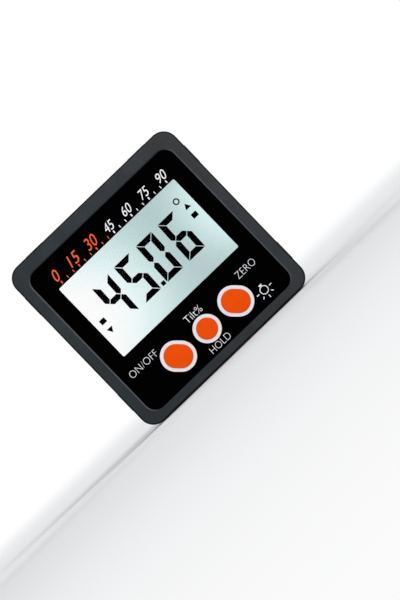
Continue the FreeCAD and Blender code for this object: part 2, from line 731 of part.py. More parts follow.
def button_bezel():
    """White moulding: a plate behind the panel with a collar round each key."""
    body = plate("button_bezel", [bezel_plate_outline()], PANEL_BACK, BEZEL_BACK)
    slab(body, "collars", [key_outline(key, COLLAR) for key in KEYS], RING_FACE, PANEL_BACK)
    slab(body, "bores", [key_outline(key, "size.key_gap") for key in KEYS], RING_FACE, BEZEL_BACK, cut=True)


def keys():
    """Each key cap, its switch plunger and its switch body."""
    half = "size.switch_size / 2"
    for key, (across, form) in KEYS.items():
        cap = new_body(f"{key}_button")
        slab(cap, "cap", [key_outline(key)], CROWN, KEY_FLANGE)
        soften(cap, "Fillet", "size.key_round", lies_at(CROWN))
        slab(cap, "flange", [key_outline(key, "size.key_flange")], KEY_FLANGE, KEY_BACK)
        plunger = circle(across, "size.key_level", "size.plunger_diameter / 2")
        plate(f"{key}_plunger", [plunger], KEY_BACK, PLUNGER_END)
        square = rectangle(f"{across} - {half}", f"{across} + {half}", f"size.key_level - {half}",
                           f"size.key_level + {half}")
        switch = plate(f"{key}_switch", [square], SWITCH_TOP, BOARD_FACE)
        well = circle(across, "size.key_level", "size.plunger_diameter / 2 + size.plunger_gap")
        slab(switch, "well", [well], SWITCH_TOP, PLUNGER_WELL, cut=True)


def glass_outline(margin="0", high=GLASS_HIGH):
    """The liquid-crystal glass, or a frame or film round it that differs by a margin."""
    return rectangle(f"-{GLASS_SIDE} - {margin}", f"{GLASS_SIDE} + {margin}", f"{GLASS_LOW} - {margin}",
                     f"{high} + {margin}")


def display_stack():
    """What lies between the front wall and the board, behind the window."""
    inset = "-size.polariser_inset"
    seal = "-size.seal_width"
    guide = rectangle(f"{LED_EDGE} + {HOLDER_GAP}", f"{GLASS_SIDE} + {inset}", f"{GLASS_LOW} - {inset}",
                      f"{GLASS_HIGH} + {inset}")
    plate("lcd_gasket", [glass_outline(inset), aperture_outline()], WALL_BACK, POLARISER_FACE)
    plate("front_polariser", [glass_outline(inset)], POLARISER_FACE, FRONT_GLASS)
    plate("lcd_front_glass", [glass_outline("0", LEDGE_HIGH)], FRONT_GLASS, CRYSTAL_FACE)
    plate("lcd_seal", [glass_outline(), glass_outline(seal)], CRYSTAL_FACE, REAR_GLASS)
    plate("lcd_rear_glass", [glass_outline()], REAR_GLASS, REAR_POLARISER)
    plate("rear_polariser", [glass_outline(inset)], f"{REAR_POLARISER} + size.layer_play",
          f"{LIGHT_GUIDE} - size.layer_play")
    plate("light_guide", [guide], LIGHT_GUIDE, REFLECTOR)
    plate("backlight_reflector", [guide], REFLECTOR, FOAM_PAD)
    plate("display_foam_pad", [guide], FOAM_PAD, BOARD_FACE)
    leds = []
    for sign in SIGNS:
        middle = f"(({GLASS_LOW} + {GLASS_HIGH}) / 2 + {sign} * size.led_spacing / 2)"
        leds.append(rectangle(f"-{GLASS_SIDE}", LED_EDGE, f"{middle} - size.led_height / 2",
                              f"{middle} + size.led_height / 2"))
    plate("backlight_leds", leds, LIGHT_GUIDE, BOARD_FACE)
    holder = [glass_outline("(size.holder_gap + size.holder_wall)", LEDGE_HIGH),
              glass_outline(HOLDER_GAP, LEDGE_HIGH)]
    plate("lcd_holder", holder, WALL_BACK, BOARD_FACE)
    middle = f"({GLASS_HIGH} + {LEDGE_HIGH}) / 2"
    strip = rectangle(f"-{GLASS_SIDE} + size.zebra_inset", f"{GLASS_SIDE} - size.zebra_inset",
                      f"{middle} - size.zebra_width / 2", f"{middle} + size.zebra_width / 2")
    plate("zebra_strip", [strip], CRYSTAL_FACE, BOARD_FACE)


def digit_bars():
    """Corners of the seven bars of a figure, from its lower left corner, by name."""
    wide = number("size.digit_width")
    tall = number("size.digit_height")
    stroke = number("size.stroke")
    gap = number("size.stroke_gap")
    middle = tall / 2
    tip = stroke / 2 + gap
    top = [(gap, tall), (wide - gap, tall), (wide - stroke - gap, tall - stroke),
           (stroke + gap, tall - stroke)]
    upper = [(0, tall - gap), (0, middle + tip), (stroke / 2, middle + gap), (stroke, middle + tip),
             (stroke, tall - stroke - gap)]
    centre = [(tip, middle), (stroke + gap, middle - stroke / 2), (wide - stroke - gap, middle - stroke / 2),
              (wide - tip, middle), (wide - stroke - gap, middle + stroke / 2),
              (stroke + gap, middle + stroke / 2)]
    return {
        "top": top,
        "bottom": [(x, tall - z) for x, z in top],
        "centre": centre,
        "upper_left": upper,
        "upper_right": [(wide - x, z) for x, z in upper],
        "lower_left": [(x, tall - z) for x, z in upper],
        "lower_right": [(wide - x, tall - z) for x, z in upper],
    }


# The reading on the display, and the bars that are lit in each of its figures
READING = "4506"
LIT_BARS = {
    "4": ("upper_left", "upper_right", "centre", "lower_right"),
    "5": ("top", "upper_left", "centre", "lower_right", "bottom"),
    "0": ("top", "bottom", "upper_left", "upper_right", "lower_left", "lower_right"),
    "6": ("top", "upper_left", "centre", "lower_left", "lower_right", "bottom"),
}


def block(corners):
    """A lit area of the liquid-crystal layer, from corners across and up."""
    front = number(LIT_FACE)
    points = [Vector(x, front, z) for x, z in corners]
    face = Part.Face(Part.makePolygon(points + points[:1]))
    return face.extrude(Vector(0, number(LIT_DEPTH), 0))


def lit_figures():
    """The bars of the reading, slanted, and the point midway along it."""
    low = number("size.digit_low")
    tall = number("size.digit_height")
    lean = math.tan(math.radians(number("size.digit_slant")))
    pitch = number("size.digit_pitch")
    bars = digit_bars()
    areas = []
    for place, figure in enumerate(READING):
        left = (place - (len(READING) - 1) / 2) * pitch - number("size.digit_width") / 2
        for name in LIT_BARS[figure]:
            slanted = [(left + x + (z - tall / 2) * lean, low + z) for x, z in bars[name]]
            areas.append(block(slanted))
    half = number("size.point_size") / 2
    areas.append(block([(-half, low), (half, low), (half, low + 2 * half), (-half, low + 2 * half)]))
    return areas


def lit_marks():
    """The degree ring, and the square and arrow that stand on each side of the figures."""
    front = number(LIT_FACE)
    thick = number(LIT_DEPTH)
    radius = number("size.degree_radius")
    centre = Vector(number("size.degree_across"), front, number("size.degree_up"))
    ring = Part.makeCylinder(radius, thick, centre, Vector(0, 1, 0))
    hole = Part.makeCylinder(radius - number("size.degree_wall"), thick, centre, Vector(0, 1, 0))
    areas = [ring.cut(hole)]
    square_wide = number("size.square_width") / 2
    square_tall = number("size.square_height") / 2
    arrow_wide = number("size.arrow_width") / 2
    arrow_tall = number("size.arrow_height") / 2
    across = number("size.mark_across")
    middle = number(f"{WINDOW_LOW} + size.window_height / 2")
    for sign in (-1, 1):
        x = sign * across
        z = middle + sign * number("size.square_up")
        areas.append(block([(x - square_wide, z - square_tall), (x + square_wide, z - square_tall),
                            (x + square_wide, z + square_tall), (x - square_wide, z + square_tall)]))
        z = middle + sign * number("size.arrow_up")
        areas.append(block([(x - arrow_wide, z - sign * arrow_tall), (x + arrow_wide, z - sign * arrow_tall),
                            (x, z + sign * arrow_tall)]))
    return areas


def lcd_segments():
    """All lit areas of the liquid-crystal layer, as one group of solids."""
    feature = doc.addObject("Part::Feature", "lcd_segments")
    feature.Label = "lcd_segments"
    feature.Shape = Part.makeCompound(lit_figures() + lit_marks())
    feature.Placement = FreeCAD.Placement()
    parts.append(feature)


def board():
    """The main board: a cross that clears the corner posts and the magnet ribs."""
    right = [(BOARD_NECK, BOARD_LOW), (BOARD_NECK, SHOULDER_LOW), (BOARD_SIDE, SHOULDER_LOW),
             (BOARD_SIDE, SHOULDER_HIGH), (BOARD_NECK, SHOULDER_HIGH), (BOARD_NECK, BOARD_HIGH)]
    left = [(f"-{x}", z) for x, z in reversed(right)]
    body = plate("main_board", [polygon(*right, *left)], BOARD_FACE, BOARD_BACK)
    holes = circles(BOSS_PLACES, "size.board_screw_diameter / 2 + size.screw_gap")
    slab(body, "screw_holes", holes, BOARD_FACE, BOARD_BACK, cut=True)


def square_part(label, across, up, width, height):
    """A square component on the back of the board."""
    half = f"size.{width} / 2"
    outline = rectangle(f"{across} - {half}", f"{across} + {half}", f"{up} - {half}", f"{up} + {half}")
    body = plate(label, [outline], BOARD_BACK, f"{BOARD_BACK} + size.{height}")
    return body


def board_parts():
    """Controller, tilt sensor, crystal and chip capacitors, on the back of the board."""
    square_part("controller_chip", "size.chip_across", "size.chip_up", "chip_size", "chip_height")
    square_part("tilt_sensor", "size.sensor_across", "size.sensor_up", "sensor_size", "sensor_height")
    crystal = new_body("crystal")
    half = "size.crystal_length / 2"
    can = circle("size.crystal_across", f"{BOARD_BACK} + size.crystal_diameter / 2", "size.crystal_diameter / 2")
    slab(crystal, "can", [can], f"size.crystal_up - {half}", f"size.crystal_up + {half}", "Z")
    chips = []
    for sign in SIGNS:
        for step in range(3):
            x = f"{sign} * size.capacitor_across"
            z = f"(size.capacitor_up + {step} * size.capacitor_pitch)"
            chips.append(rectangle(f"{x} - size.capacitor_width / 2", f"{x} + size.capacitor_width / 2",
                                   f"{z} - size.capacitor_height / 2", f"{z} + size.capacitor_height / 2"))
    plate("chip_capacitors", chips, BOARD_BACK, f"{BOARD_BACK} + size.capacitor_height")


PLATE_LOW = f"({BAY_LOW} + size.contact_thickness)"
PLATE_HIGH = f"({BAY_HIGH} - size.contact_thickness)"
TAIL_HALF = "size.contact_tail_width / 2"


def cell(label, side, start, way):
    """A cell that stands upright, its tip at the start and its can the given way along Z."""
    body = new_body(label)
    x = f"{side} * size.cell_pitch / 2"
    ends = [f"{start} + {way} * size.tip_height", f"{start} + {way} * size.cell_length"]
    can_low, can_high = ends[::way]
    slab(body, "can", [circle(x, CELL_AXIS, CELL_RADIUS)], can_low, can_high, "Z")
    soften(body, "Fillet", "size.cell_round", lambda box: box.ZMax - box.ZMin < TOUCH)
    tip_low, tip_high = [start, ends[0]][::way]
    slab(body, "tip", [circle(x, CELL_AXIS, "size.tip_diameter / 2")], tip_low, tip_high, "Z")


def contacts():
    """The bridge at the top of the bay, and the two contacts whose tails reach the board."""
    near = f"{BAY_FLOOR} + size.contact_margin"
    far = f"{DOOR_FRONT} - size.contact_margin - size.door_back_gap"
    bridge_half = "(size.cell_pitch / 2 + size.contact_half_width)"
    bridge = new_body("contact_bridge")
    slab(bridge, "strip", [rectangle(f"-{bridge_half}", bridge_half, near, far)], PLATE_HIGH, BAY_HIGH, "Z")
    for label, sign in (("negative_contact", "-1"), ("positive_contact", "1")):
        x = f"{sign} * size.cell_pitch / 2"
        half = "size.contact_half_width"
        outline = polygon((f"{x} - {half}", near), (f"{x} - {TAIL_HALF}", near), (f"{x} - {TAIL_HALF}", BOARD_BACK),
                          (f"{x} + {TAIL_HALF}", BOARD_BACK), (f"{x} + {TAIL_HALF}", near),
                          (f"{x} + {half}", near), (f"{x} + {half}", far), (f"{x} - {half}", far))
        slab(new_body(label), "strip", [outline], BAY_LOW, PLATE_LOW, "Z")


def battery_springs():
    """Two tapered coils: one under the left cell, and one over the right cell, upside down."""
    wire = number("size.spring_wire") / 2
    clear = number("size.spring_clearance")
    rise = number("size.spring_room") - 2 * (wire + clear)
    radius = number("size.spring_radius")
    coils = []
    for sign, level in ((-1, PLATE_LOW), (1, PLATE_HIGH)):
        helix = Part.makeHelix(rise / number("size.spring_turns"), rise, radius, -number("size.spring_taper"))
        start = Part.Wire(Part.makeCircle(wire, Vector(radius, 0, 0), Vector(0, 1, 0)))
        coil = Part.Wire(helix).makePipeShell([start], True, True)
        if sign > 0:
            coil.rotate(Vector(0, 0, 0), Vector(1, 0, 0), 180)
        lift = number(level) - sign * (wire + clear)
        coil.translate(Vector(sign * number("size.cell_pitch") / 2, number(CELL_AXIS), lift))
        coils.append(coil)
    feature = doc.addObject("Part::Feature", "battery_springs")
    feature.Label = "battery_springs"
    feature.Shape = Part.makeCompound(coils)
    feature.Placement = FreeCAD.Placement()
    parts.append(feature)


def check_parts():
    """Stop if any object failed, or if a sub-part's shape is empty or not valid."""
    doc.recompute()
    for item in doc.Objects:
        if "Invalid" in item.State or "Error" in item.State:
            raise RuntimeError(f"{item.Label} failed: {item.State}")
    for item in parts:
        if item.Shape.isNull() or not item.Shape.isValid() or not item.Shape.Solids:
            raise RuntimeError(f"{item.Label} has no valid solid")


front_case()
rear_case()
screws("case_screws", POST_PLACES, SCREW_END, HEAD_FRONT, "screw")
battery_door()
magnets()
front_panel()
display_window()
panel_tape()
button_bezel()
keys()
display_stack()
lcd_segments()
board()
screws("board_screws", BOSS_PLACES, BOARD_SCREW_END, BOARD_BACK, "board_screw")
board_parts()
cell("left_cell", "-1", PLATE_HIGH, -1)
cell("right_cell", "1", PLATE_LOW, 1)
contacts()
battery_springs()
check_parts()

os.makedirs("parts", exist_ok=True)
for item in parts:
    item.Shape.exportStep(f"parts/{item.Label}.step")
    box = item.Shape.optimalBoundingBox(False)
    print(f"{item.Label:20s} solids {len(item.Shape.Solids):2d} volume {item.Shape.Volume:9.2f}"
          f"  x {box.XMin:7.2f} {box.XMax:7.2f}  y {box.YMin:7.2f} {box.YMax:7.2f}"
          f"  z {box.ZMin:6.2f} {box.ZMax:6.2f}")
print(len(parts), "sub-parts")
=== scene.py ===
# %% [markdown]
# # A pocket inclinometer, one finish at a time
# The instrument is a square case with magnets in its edges, a gloss black front with a lit display, and
# three orange keys. Its pieces come from the engineering model at their true size, and this lesson gives
# each of them the surface that its real material has. Only what is printed on its front is built here.

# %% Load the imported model
import math
import bmesh
import bpy
from mathutils import Matrix, Vector


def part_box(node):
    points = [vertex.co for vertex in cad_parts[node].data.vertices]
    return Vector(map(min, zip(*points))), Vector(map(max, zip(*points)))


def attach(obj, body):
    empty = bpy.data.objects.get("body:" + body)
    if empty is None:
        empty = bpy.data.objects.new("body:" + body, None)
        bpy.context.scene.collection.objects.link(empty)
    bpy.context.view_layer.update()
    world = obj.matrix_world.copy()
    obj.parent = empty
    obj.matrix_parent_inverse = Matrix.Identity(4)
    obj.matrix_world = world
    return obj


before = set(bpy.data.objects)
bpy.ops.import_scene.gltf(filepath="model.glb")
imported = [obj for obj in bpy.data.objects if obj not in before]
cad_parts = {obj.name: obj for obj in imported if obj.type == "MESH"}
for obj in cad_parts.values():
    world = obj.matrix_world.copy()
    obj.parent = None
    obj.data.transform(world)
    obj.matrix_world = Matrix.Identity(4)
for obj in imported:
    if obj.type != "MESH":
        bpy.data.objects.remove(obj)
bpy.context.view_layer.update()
MM = 0.001

# %% [markdown]
# Colours are written as the hex codes that a paint chart or a web page would use. Blender mixes light in
# linear values, so one function turns a code into those. A second function adds a node with its settings
# and its links, which keeps every material below down to a list of what it is made of. Patterns are sized
# in millimetres, because that is how a mould, a mesh or a ground mark is described. No real surface has one
# flat colour, so one helper draws the commonest variation: two close shades in soft patches.

# %% Colour and node helpers
def linear(code):
    """A hex colour as the linear red, green, blue and alpha that a shader takes."""
    shares = [int(code[start:start + 2], 16) / 255 for start in (0, 2, 4)]
    return (*(s / 12.92 if s <= 0.04045 else ((s + 0.055) / 1.055) ** 2.4 for s in shares), 1.0)


# A Mix node has a pair of sockets for each kind of data: these are the numbers of its colour sockets
FACTOR, FIRST, SECOND, MIXED = 0, 6, 7, 2


def add(tree, kind, inputs=None, **settings):
    """Add a node, then link or fill its inputs: a socket of another node is linked, a value is filled in."""
    node = tree.nodes.new("ShaderNode" + kind)
    for name, value in settings.items():
        setattr(node, name, value)
    for name, value in (inputs or {}).items():
        socket = node.inputs[name]
        if isinstance(value, bpy.types.NodeSocket):
            tree.links.new(value, socket)
        else:
            socket.default_value = value
    return node


def start_finish(name, **constants):
    """A new material whose Principled shader has its plain values set: the material, tree and shader."""
    material = bpy.data.materials.new(name)
    material.use_nodes = True
    tree = material.node_tree
    shader = tree.nodes["Principled BSDF"]
    for socket, value in constants.items():
        shader.inputs[socket.replace("_", " ")].default_value = value
    return material, tree, shader


def drive(tree, shader, **sources):
    """Link sockets of a shader to what drives them."""
    for socket, source in sources.items():
        tree.links.new(source, shader.inputs[socket.replace("_", " ")])


def place_in_mm(tree):
    """Where a point lies on its piece, in millimetres, so that pattern sizes are real sizes."""
    metres = add(tree, "TexCoord").outputs["Object"]
    return add(tree, "VectorMath", {0: metres, "Scale": 1 / MM}, operation="SCALE").outputs[0]


def clouds(tree, place, size, shade, other, detail=2.0):
    """Two close shades in patches of a size in millimetres: the colour, and the noise that mixes it."""
    noise = add(tree, "TexNoise", {"Vector": place, "Scale": 1 / size, "Detail": detail}).outputs["Fac"]
    mix = {FACTOR: noise, FIRST: linear(shade), SECOND: linear(other)}
    return add(tree, "Mix", mix, data_type="RGBA").outputs[MIXED], noise


def wear(material, *nodes):
    """Give a finish to CAD pieces by name."""
    for name in nodes:
        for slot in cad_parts[name].material_slots:
            slot.material = material
    print(material.name, "on", ", ".join(nodes))


print("mid grey 808080 is", round(linear("808080")[0], 3), "in linear light")

# %% [markdown]
# ## Camera
# The instrument shows 45 degrees because it leans. Here it stands upright on its base, so the camera
# leans instead: it looks level at the front from straight ahead, rolled about its line of sight. A long
# lens far away keeps the square case square.

# %% Camera
LEAN = math.radians(43.9)
STAND_OFF = 950 * MM
VIEW_HEIGHT = 157.5 * MM
AIM_ACROSS = 3.85 * MM
AIM_UP = 16.5 * MM

case_low, case_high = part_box("front_case")
camera_data = bpy.data.cameras.new("camera")
camera_data.lens = camera_data.sensor_width * STAND_OFF / VIEW_HEIGHT
camera_data.clip_start = STAND_OFF / 10
camera_data.clip_end = STAND_OFF * 20
camera = bpy.data.objects.new("camera", camera_data)
right = Vector((math.cos(LEAN), 0, -math.sin(LEAN)))
upward = Vector((math.sin(LEAN), 0, math.cos(LEAN)))
turn = Matrix((right, upward, right.cross(upward))).transposed()
stand = Vector((AIM_ACROSS, case_low.y - STAND_OFF, AIM_UP))
camera.matrix_world = Matrix.Translation(stand) @ turn.to_4x4()
bpy.context.scene.collection.objects.link(camera)
bpy.context.scene.camera = camera
bpy.context.scene.view_settings.view_transform = "Standard"
print("lens", round(camera_data.lens), "mm")

# %% [markdown]
# ## Studio
# A product like this is shot on a white sweep under large soft lamps. The world is the white wall: the
# camera, mirrors and glass see it at full white, while matt surfaces get only a dim share of it, so that
# the lamps can still model the shape. The gloss black front would mirror the white wall and the pale floor
# as grey, so black cards hang behind the camera and lie in front of the case, as a photographer would
# place them. Only reflections see the cards.

# %% World and black cards
AMBIENT = 0.42
CARD_REACH = 0.9
CARD_HEIGHT = 0.35
CARD_BEHIND = 0.7
CARD_AHEAD = 45 * MM
CARD_LIFT = 0.3 * MM


def sees_backdrop(tree):
    """1 where a camera, mirror or glass ray arrives, and 0 for light that matt surfaces gather."""
    ray = add(tree, "LightPath").outputs
    seen = add(tree, "Math", {0: ray["Is Camera Ray"], 1: ray["Is Glossy Ray"]}, operation="MAXIMUM")
    through = {0: seen.outputs[0], 1: ray["Is Transmission Ray"]}
    return add(tree, "Math", through, operation="MAXIMUM").outputs[0]


world = bpy.data.worlds.new("white_wall")
bpy.context.scene.world = world
world.use_nodes = True
sky = world.node_tree
sky.nodes.clear()
wall = add(sky, "Background", {"Color": linear("FFFFFF"), "Strength": 1.0}).outputs[0]
glow = add(sky, "Background", {"Color": linear("F6F8FF"), "Strength": AMBIENT}).outputs[0]
shown = add(sky, "MixShader", {0: sees_backdrop(sky), 1: glow, 2: wall}).outputs[0]
add(sky, "OutputWorld", {"Surface": shown})

card_mesh = bpy.data.meshes.new("black_cards")
near = case_low.y - CARD_AHEAD
far = stand.y - CARD_BEHIND
card_mesh.from_pydata([(-CARD_REACH, near, CARD_LIFT), (CARD_REACH, near, CARD_LIFT),
                       (CARD_REACH, far, CARD_LIFT), (-CARD_REACH, far, CARD_LIFT),
                       (CARD_REACH, far, CARD_HEIGHT), (-CARD_REACH, far, CARD_HEIGHT)],
                      [], [(0, 1, 2, 3), (3, 2, 4, 5)])
card = bpy.data.objects.new("black_cards", card_mesh)
for ray_kind in ("visible_camera", "visible_diffuse", "visible_shadow"):
    setattr(card, ray_kind, False)
flock, _, _ = start_finish("black_card_flocked", Base_Color=linear("000000"), Roughness=1.0,
                           Specular_IOR_Level=0.0)
card_mesh.materials.append(flock)
bpy.context.scene.collection.objects.link(card)
print("cards from", round(near, 3), "to", round(far, 3), "m in front of the origin")

# %% [markdown]
# The floor is pale paper. It keeps the shadow under the case, and fades into the white wall with distance,
# which is what the curve of a paper sweep does.

# %% Floor
FLOOR_REACH = 6.0
FADE_FROM = 0.2
FADE_TO = 1.0

floor_mesh = bpy.data.meshes.new("floor")
floor_mesh.from_pydata([(-FLOOR_REACH, -FLOOR_REACH, 0), (FLOOR_REACH, -FLOOR_REACH, 0),
                        (FLOOR_REACH, FLOOR_REACH, 0), (-FLOOR_REACH, FLOOR_REACH, 0)],
                       [], [(0, 1, 2, 3)])
floor = bpy.data.objects.new("floor", floor_mesh)
bpy.context.scene.collection.objects.link(floor)

paper, tree, matt = start_finish("pale_paper_sweep", Base_Color=linear("F4F4F3"), Roughness=0.9,
                                 Specular_IOR_Level=0.1)
from_case = add(tree, "VectorMath", {0: add(tree, "TexCoord").outputs["Object"]}, operation="LENGTH")
gone = {"Value": from_case.outputs["Value"], "From Min": FADE_FROM, "From Max": FADE_TO}
fade = add(tree, "MapRange", gone, interpolation_type="SMOOTHSTEP").outputs[0]
seen_fade = add(tree, "Math", {0: fade, 1: sees_backdrop(tree)}, operation="MULTIPLY").outputs[0]
white = add(tree, "Emission", {"Color": linear("FFFFFF"), "Strength": 1.0}).outputs[0]
mixed = add(tree, "MixShader", {0: seen_fade, 1: matt.outputs[0], 2: white}).outputs[0]
tree.links.new(mixed, tree.nodes["Material Output"].inputs["Surface"])
floor_mesh.materials.append(paper)
print("paper fades out from", FADE_FROM, "to", FADE_TO, "m")

# %% [markdown]
# Large lamps give soft shadows. The key stands high on the right of the camera and the fill low on the left,
# both far enough round that a matt front doesn't mirror them. A pair behind lights the back. Only the key
# and the fill show in reflections: a mirrored lamp behind would draw bright lines along the rounded edges.
#
# A small warm lamp near the top right corner makes that corner of the case a little lighter. It would redden
# the keys as well, so light linking limits it: its receiver collection holds the three shells only.

# %% Lamps
LAMPS = {
    # name: place and size in metres, power in watts, colour
    "key": ((0.8, -0.8, 0.8), 0.6, 8.1, "FFFFFF"),
    "fill": ((-1.0, -0.8, 0.3), 0.7, 4.7, "FAFCFF"),
    "near": ((0.052, -0.095, 0.07), 0.05, 0.058, "FFD0BE"),
    "back_left": ((-0.6, 1.1, 0.5), 0.7, 6.8, "FFFFFF"),
    "back_right": ((0.7, 1.0, 0.3), 0.7, 4.6, "FFFFFF"),
}
MIRRORED = ("key", "fill")
SHELLS = ("front_case", "rear_case", "battery_door")

middle = (case_low + case_high) / 2
for name, (place, size, power, colour) in LAMPS.items():
    lamp_data = bpy.data.lights.new(name, "AREA")
    lamp_data.size = size
    lamp_data.energy = power
    lamp_data.color = linear(colour)[:3]
    lamp = bpy.data.objects.new(name, lamp_data)
    lamp.location = place
    lamp.rotation_euler = (middle - Vector(place)).to_track_quat("-Z", "Y").to_euler()
    lamp.visible_glossy = name in MIRRORED
    lamp.visible_camera = False
    bpy.context.scene.collection.objects.link(lamp)

shells = bpy.data.collections.new("shells")
for shell in SHELLS:
    shells.objects.link(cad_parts[shell])
bpy.data.objects["near"].light_linking.receiver_collection = shells
print(len(LAMPS), "lamps, one of them for the shells only")

# %% [markdown]
# ## Dark grey ABS
# Both shells and the battery door are ABS, moulded in a tool whose walls were spark eroded. The sparks
# leave pits about a third of a millimetre across, which the plastic copies, so it looks matt and even but
# never dead flat. Noise at the pitch of the pits drives a faint bump, the roughness and the colour: the pits
# are painted a little darker, as painted shade in the hollows. The specular level is low, because pits
# scatter nearly all the sheen that bare ABS has.
#
# Two edges are painted. The round between the front and the sides is painted darker, as painted shade,
# so that it shows as a dark rim against the white wall. The bevel round the front panel is painted lighter
# at the left and right, as a painted highlight where it faces the side lamps. Both are found by how far a
# point lies from a rectangle with round corners.

# %% Spark-eroded ABS
ABS_PIT = 0.34
ABS_PIT_DEPTH = 0.024
ABS_CLOUD = 9.0
LAND_STANDS = 0.2
CASE_CORNER = 4.2
PANEL_CORNER = 3.3
ROUND = 0.7
DARK_FROM = 0.8 * ROUND
DARK_FULL = 0.3 * ROUND
DARK_BEHIND = 1.6 * ROUND
BEVEL = 0.32
BEVEL_FADE = 0.1
# How much of a bevel's slope faces sideways: the painted highlight starts at the first share and is full at
# the second
SIDE_FACING_FROM = 0.35
SIDE_FACING_FULL = 0.68


def beyond_outline(tree, place, low, high, corner):
    """How far a point lies outside a rectangle with round corners, across and up, in millimetres."""
    half = (high - low) / 2 - Vector((corner, 0, corner))
    apart = add(tree, "VectorMath", {0: place, 1: (low + high) / 2}, operation="SUBTRACT").outputs[0]
    folded = add(tree, "VectorMath", {0: apart}, operation="ABSOLUTE").outputs[0]
    past = add(tree, "VectorMath", {0: folded, 1: half}, operation="SUBTRACT").outputs[0]
    outside = add(tree, "VectorMath", {0: past, 1: (0, 0, 0)}, operation="MAXIMUM").outputs[0]
    flat = add(tree, "VectorMath", {0: outside, 1: (1, 0, 1)}, operation="MULTIPLY").outputs[0]
    length = add(tree, "VectorMath", {0: flat}, operation="LENGTH").outputs["Value"]
    return add(tree, "Math", {0: length, 1: corner}, operation="SUBTRACT").outputs[0]


def smooth_round(tree, place):
    """1 on the round that joins the front to the sides, where it gets painted shade, and 0 elsewhere."""
    stands = Vector((LAND_STANDS, 0, LAND_STANDS))
    low = case_low / MM + stands
    high = case_high / MM - stands
    edge = beyond_outline(tree, place, low, high, CASE_CORNER)
    darkens = {"Value": edge, "From Min": -DARK_FROM, "From Max": -DARK_FULL}
    near_edge = add(tree, "MapRange", darkens, interpolation_type="SMOOTHSTEP").outputs[0]
    deep = add(tree, "SeparateXYZ", {0: place}).outputs["Y"]
    behind = add(tree, "Math", {0: deep, 1: low.y}, operation="SUBTRACT").outputs[0]
    ends = {"Value": behind, "From Min": DARK_BEHIND, "From Max": ROUND}
    near_front = add(tree, "MapRange", ends).outputs[0]
    return add(tree, "Math", {0: near_edge, 1: near_front}, operation="MULTIPLY").outputs[0]


def rubbed_bevel(tree, place):
    """1 on the bevel at the left and right of the front panel, where it gets a painted highlight, and 0
    elsewhere.
    """
    low, high = (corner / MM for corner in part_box("front_panel"))
    edge = beyond_outline(tree, place, low, high, PANEL_CORNER)
    fades = {"Value": edge, "From Min": BEVEL + BEVEL_FADE, "From Max": BEVEL}
    on_bevel = add(tree, "MapRange", fades).outputs[0]
    deep = add(tree, "SeparateXYZ", {0: place}).outputs["Y"]
    in_front = add(tree, "Math", {0: deep, 1: case_low.y / MM + BEVEL}, operation="LESS_THAN").outputs[0]
    facing = add(tree, "SeparateXYZ", {0: add(tree, "TexCoord").outputs["Normal"]}).outputs["X"]
    sideways = add(tree, "Math", {0: facing}, operation="ABSOLUTE").outputs[0]
    side_facing_range = {"Value": sideways, "From Min": SIDE_FACING_FROM, "From Max": SIDE_FACING_FULL}
    facing_side_lamps = add(tree, "MapRange", side_facing_range).outputs[0]
    here = add(tree, "Math", {0: on_bevel, 1: in_front}, operation="MULTIPLY").outputs[0]
    return add(tree, "Math", {0: here, 1: facing_side_lamps}, operation="MULTIPLY").outputs[0]


def spark_eroded_abs(name, colour, pit_shade_colour, edges=False):
    """Moulded ABS: matt, with pits that are rougher than the lands between them and painted a little darker
    as painted shade.
    """
    material, tree, skin = start_finish(name, IOR=1.54, Specular_IOR_Level=0.06)
    place = place_in_mm(tree)
    pits = add(tree, "TexNoise", {"Vector": place, "Scale": 1 / ABS_PIT, "Detail": 2.0}).outputs["Fac"]
    cloud = add(tree, "TexNoise", {"Vector": place, "Scale": 1 / ABS_CLOUD, "Detail": 1.0}).outputs["Fac"]
    both = add(tree, "Math", {0: pits, 1: cloud}, operation="MULTIPLY").outputs[0]
    depth = add(tree, "MapRange", {"Value": both, "From Min": 0.12, "From Max": 0.38}).outputs[0]
    # The pits are painted darker than the lands: painted shade in the hollows, varied by slow clouds of tone
    shade = {FACTOR: depth, FIRST: linear(pit_shade_colour), SECOND: linear(colour)}
    dyed = add(tree, "Mix", shade, data_type="RGBA").outputs[MIXED]
    if edges:
        # The round gets painted shade and the bevel a painted highlight
        for mask, edge_colour in ((smooth_round, RIM_SHADE_COLOUR), (rubbed_bevel, BEVEL_HIGHLIGHT_COLOUR)):
            shade = {FACTOR: mask(tree, place), FIRST: dyed, SECOND: linear(edge_colour)}
            dyed = add(tree, "Mix", shade, data_type="RGBA").outputs[MIXED]
    rough = add(tree, "MapRange", {"Value": pits, "To Min": 0.62, "To Max": 0.46}).outputs[0]
    bump = {"Height": pits, "Strength": 0.6, "Distance": ABS_PIT_DEPTH * MM}
    drive(tree, skin, Base_Color=dyed, Roughness=rough, Normal=add(tree, "Bump", bump).outputs[0])
    return material


# The colour of the painted shade on the front round
RIM_SHADE_COLOUR = "08090A"
# The colour of the painted highlight on the left and right of the panel bevel
BEVEL_HIGHLIGHT_COLOUR = "52575B"
wear(spark_eroded_abs("case_abs_spark_eroded", "2F3639", "282E31", edges=True), "front_case", "rear_case")
wear(spark_eroded_abs("door_abs_spark_eroded", "2D3437", "262C2F"), "battery_door")

# %% [markdown]
# ## Gloss black front
# The front is a sheet of cast acrylic, black all through and polished. Polish leaves almost nothing to see
# except what it mirrors, so its colour is near black, its roughness very low, and a slow noise varies that
# roughness a little, as hands and cloths do.

# %% Polished black acrylic
WIPE_MARK = 6.0


